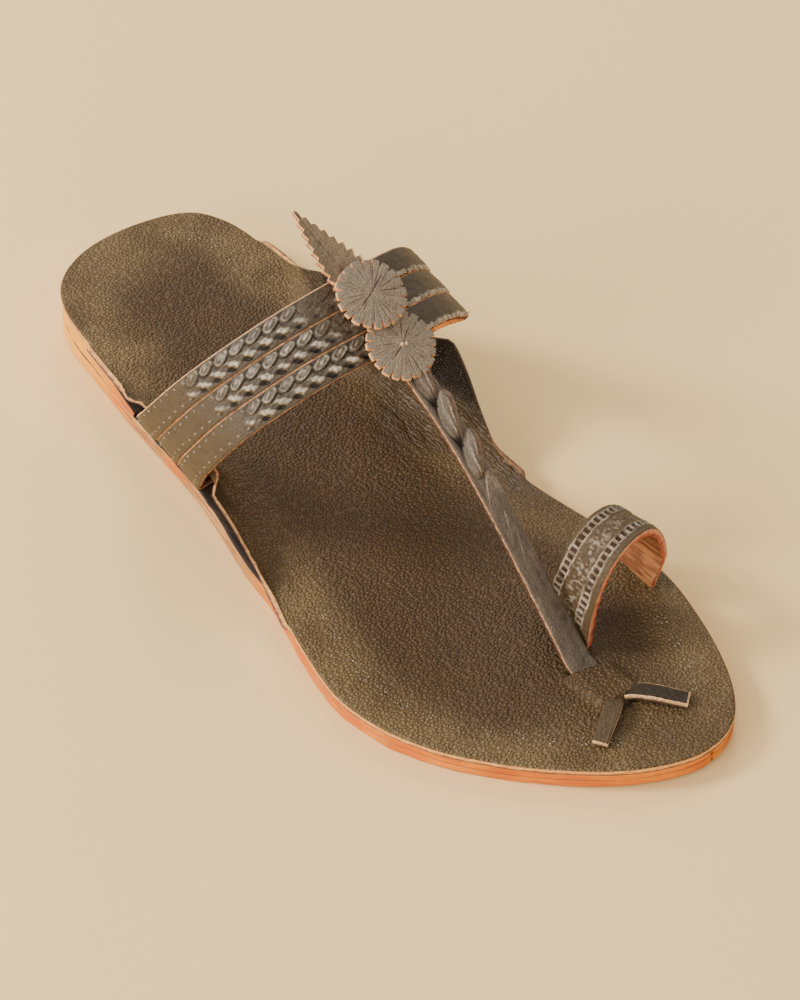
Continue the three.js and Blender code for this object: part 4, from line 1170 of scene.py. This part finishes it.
def make_rosette(which, crease_angle, seed):
    """A disc with notched teeth and grooves towards its middle, creased across where it is stitched."""
    at, slope = ROSETTES[which]
    count, rings = 400, 46
    angle = 2 * np.pi * np.arange(count) / count
    wave = angle * ROSETTE_TEETH / 2 + 0.5 * noise(np.sin(angle) * 3, np.cos(angle) * 3, seed)
    tooth = rise(np.abs(np.sin(wave)), 0.22, 0.5)
    depth = 1.35 * (1 + 0.35 * noise(np.floor(wave / np.pi) * 2.3, 1, seed))
    rim = ROSETTE_RADIUS - 0.3 - depth * (1 - tooth) + 0.3 * noise(np.floor(wave / np.pi) * 1.7, 2, seed)
    share = np.linspace(0, 1, rings) ** 0.85
    share[0] = 0.004
    r = share[:, None] * rim[None]
    a = angle[None] + 0 * r
    swirl = (a * ROSETTE_GROOVES / (2 * np.pi) + 0.8 * noise(a * 2.2, 3, seed)
             + 0.16 * noise(r / 3, a * 4, seed + 1))
    groove = (1 - np.abs(np.sin(np.pi * swirl))) ** 3.6
    groove = groove * np.clip(0.55 + 0.55 * noise(np.floor(swirl + 0.5) * 1.9, 7, seed), 0.1, 1)
    reach = 8.6 + 1.2 * noise(np.floor(swirl + 0.5) * 2.7, 9, seed)
    fade = rise(r, 0.8, 3.4) * (1 - rise(r, reach - 2, reach))
    x, y = r * np.cos(a), r * np.sin(a)
    across = -x * math.sin(crease_angle) + y * math.cos(crease_angle) + 0.5 * noise(x / 4, 2, seed)
    along = x * math.cos(crease_angle) + y * math.sin(crease_angle)
    crease = hill(across, 0, 0.36) * (1 - rise(np.abs(along), 2.6, 6.5))
    fine = 0.07 * noise(x * 1.6, y * 1.6, seed + 4) + 0.12 * noise(x / 1.8, y / 1.8, seed + 5)
    # Besides shaping the disc, the relief paints shade into the grooves and the crease.
    relief = -0.5 * groove * fade - 0.42 * crease + fine
    dome = 0.5 * (1 - share[:, None] ** 2) - 0.16 * rise(share, 0.96, 1)[:, None]
    top = np.stack([x, y, ROSETTE_THICK - 0.15 + 0 * x], -1)
    top[..., 2] += dome + 0.7 * relief
    lower_share = np.array([1, 0.98, 0.7, 0.35, 0.004])
    lower_r = lower_share[:, None] * rim[None]
    lower = np.stack([lower_r * np.cos(a[:1]), lower_r * np.sin(a[:1]), np.full(lower_r.shape, 0.25)], -1)
    side = np.stack([lerp(top[-1], lower[0], t) for t in (0.2, 0.4, 0.6, 0.8)])
    rows = np.concatenate([top, side, lower])
    points = tilted(rows, at, slope).reshape(-1, 3)
    faces = outward(points, tube_faces(len(rows), count))
    row_tags = np.array([0] * (rings - 1) + [1] * 5 + [2] * 4)
    tags = np.concatenate([np.repeat(row_tags, count), [0, 2]])
    marks = np.zeros((len(rows), count))
    marks[:rings] = relief
    mesh_piece(f"rosette_{which}_disc", points, faces, tags, [ORNAMENT_SKIN, ORNAMENT_EDGE, FLESH],
               [f"rosette_{which}"], {"relief": marks}, 45)


def make_knot():
    """The pale thong end knotted through the middle of the front rosette."""
    spot = tilted(np.array([0.2, 0.2, ROSETTE_THICK + 0.2]), *ROSETTES["front"])
    knob = [(0.02, -0.6), (0.4, -0.4), (0.6, 0), (0.55, 0.3), (0.3, 0.55), (0.02, 0.6)]
    tip = [(0.02, -0.6), (0.45, -0.3), (0.6, 0.1), (0.35, 0.45), (0.02, 0.5)]
    bodies = [(spot, (0, 0.5, 0.86), knob), (spot + (-1.1, 0.5, 0.1), (-0.5, 0.6, 0.7), tip)]
    joined_lathes("rosette_knot", bodies, PALE_THONG)


def make_leaf():
    """The leaf, with saw teeth that point to its tip, cupped a little along its middle."""
    reach = LEAF_LENGTH * np.linspace(0, 1, 420)[:, None]
    t = np.clip((reach - LEAF_ROOT) / (LEAF_LENGTH - LEAF_ROOT), 0, 1)
    envelope = LEAF_HALF * np.sqrt(1 - 0.15 * (1 - t)) * (1 - t ** 1.35) + 0.35
    tooth = (t * LEAF_TEETH) % 1
    saw = np.where(tooth < 0.8, 1 - tooth / 0.8, (tooth - 0.8) / 0.2)
    half = envelope - 1.5 * (1 - 0.45 * t) * saw
    neck = LEAF_HALF - 3
    half = np.where(reach < LEAF_ROOT, lerp(neck, half, rise(reach, LEAF_ROOT - 2, LEAF_ROOT)), half)
    half = np.maximum(half, 0.25)
    across = np.concatenate([[-1, -0.97], np.linspace(-0.93, 0.93, 24), [0.97, 1]])
    x = half * across
    y = -reach + 0 * x
    vein = -0.16 * hill(x, 0.3 * noise(y / 6, 1, 61), 0.5) * rise(reach, 9, 12)
    ripple = 0.12 * noise(x / 2.2, y / 2.2, 62) + 0.06 * noise(x * 1.2, y * 1.2, 63)
    cup = 0.035 * x ** 2 * (1 - 0.4 * t)
    curl = 0.9 * t ** 2 - 0.5 * t
    high = LEAF_THICK - 0.15 + cup + curl
    top = np.stack([x, y, high + vein + ripple - 0.2 * rise(np.abs(across), 0.93, 1)], -1)
    low_x = half * np.linspace(-1, 1, 9)
    low_high = 0.035 * low_x ** 2 * (1 - 0.4 * t) + curl
    bottom = np.stack([low_x, -reach + 0 * low_x, low_high + 0.1], -1)
    top, bottom = (tilted(grid, LEAF_AT, LEAF_SLOPE, LEAF_TURN) for grid in (top, bottom))
    is_edge = (np.abs(across[:-1] + 0.02) > 0.93).astype(int)
    # The relief paints shade along the vein.
    relief = 1.2 * ripple + 1.5 * vein
    slab("leaf_blade", top, bottom, [LEAF_SKIN, ORNAMENT_EDGE, FLESH], top_tags=is_edge,
         side_steps=3, marks={"relief": relief}, stands_for=["leaf"], crease=50)


def make_rivets():
    """A brass head on the outside of each ear, square to the leather there."""
    for side, sign in SIGN.items():
        y = np.array([float(RIVET_Y)])
        points, _ = ear_points(side, y, np.linspace(0, 1, 41)[None])
        profile = points[0]
        k = int(np.argmin(np.abs(profile[:, 2] - RIVET_Z)))
        slope = unit(profile[k + 1] - profile[k - 1])
        facing = np.array([-sign * slope[2], 0, sign * slope[0]])
        shape = [(0.02, -1.9), (1.2, -1.9), (1.2, 0.1), (RIVET_HEAD - 0.15, 0.12), (RIVET_HEAD, 0.3),
                 (RIVET_HEAD - 0.05, 0.5), (0.8 * RIVET_HEAD, 0.85 * RIVET_DOME),
                 (0.45 * RIVET_HEAD, 1.2 * RIVET_DOME), (0.02, 1.3 * RIVET_DOME)]
        joined_lathes(f"rivet_{side}_head", [(profile[k], facing, shape)], BRASS,
                      [f"rivet_{side}"])


# ------------------------------------------------------------------ the stage
def make_stage():
    floor_mesh = bpy.data.meshes.new("studio_floor")
    reach = 3.0
    floor_mesh.from_pydata([(-reach, -reach, 0), (reach, -reach, 0), (reach, reach, 0), (-reach, reach, 0)],
                           [], [(0, 1, 2, 3)])
    floor = bpy.data.objects.new("studio_floor", floor_mesh)
    bpy.context.scene.collection.objects.link(floor)
    paper = Surface("pale_floor", Roughness=0.9, **{"Specular IOR Level": 0.2})
    paper.colour(paper.mixed(paper.noise(240, 2), (247, 208, 142), (250, 213, 148)))
    floor_mesh.materials.append(paper.relief((paper.noise(3, 2), 0.02)))

    world = bpy.data.worlds.new("studio")
    bpy.context.scene.world = world
    world.use_nodes = True
    background = world.node_tree.nodes["Background"]
    background.inputs["Color"].default_value = (1.0, 0.985, 0.96, 1)
    background.inputs["Strength"].default_value = 0.78

    for name, place, size, power in (
            ("key_light", (1.05, -1.0, 1.1), 0.5, 30),
            ("side_light", (1.5, -0.05, 0.62), 1.1, 17),
            ("back_light", (-0.8, -0.85, 1.15), 0.7, 9),
            ("front_light", (1.2, 1.1, 0.5), 0.9, 8)):
        lamp = bpy.data.lights.new(name, "AREA")
        lamp.shape = "DISK"
        lamp.size = size
        lamp.energy = power
        lamp.color = (1.0, 0.98, 0.95)
        light = bpy.data.objects.new(name, lamp)
        light.location = place
        light.rotation_euler = (-Vector(place)).to_track_quat("-Z", "Y").to_euler()
        bpy.context.scene.collection.objects.link(light)


def make_camera():
    """Above the shoe's outer front corner, looking down and back at it."""
    camera = bpy.data.cameras.new("camera")
    camera.sensor_width = 36
    camera.lens = 147
    camera.clip_start, camera.clip_end = 0.05, 20
    holder = bpy.data.objects.new("camera", camera)
    place = Vector(placed((525.4, 730.5, 883.3)))
    target = Vector(placed((-1, 144.3, 20)))
    holder.location = place
    holder.rotation_euler = (target - place).to_track_quat("-Z", "Y").to_euler()
    bpy.context.scene.collection.objects.link(holder)
    bpy.context.scene.camera = holder


make_sole()
make_footbed()
make_tooling()
for strap_index, strap_name in enumerate(("cross_strap_rear", "cross_strap_middle", "cross_strap_front")):
    make_cross_strap(strap_index, strap_name)
make_toe_strap()
make_lace()
for tail_name in TAILS:
    make_tail(tail_name)
make_toe_loop()
make_loop_nails()
make_rosette("rear", 0.42, 71)
make_rosette("front", 0.5, 83)
make_knot()
make_leaf()
make_rivets()
make_stage()
make_camera()
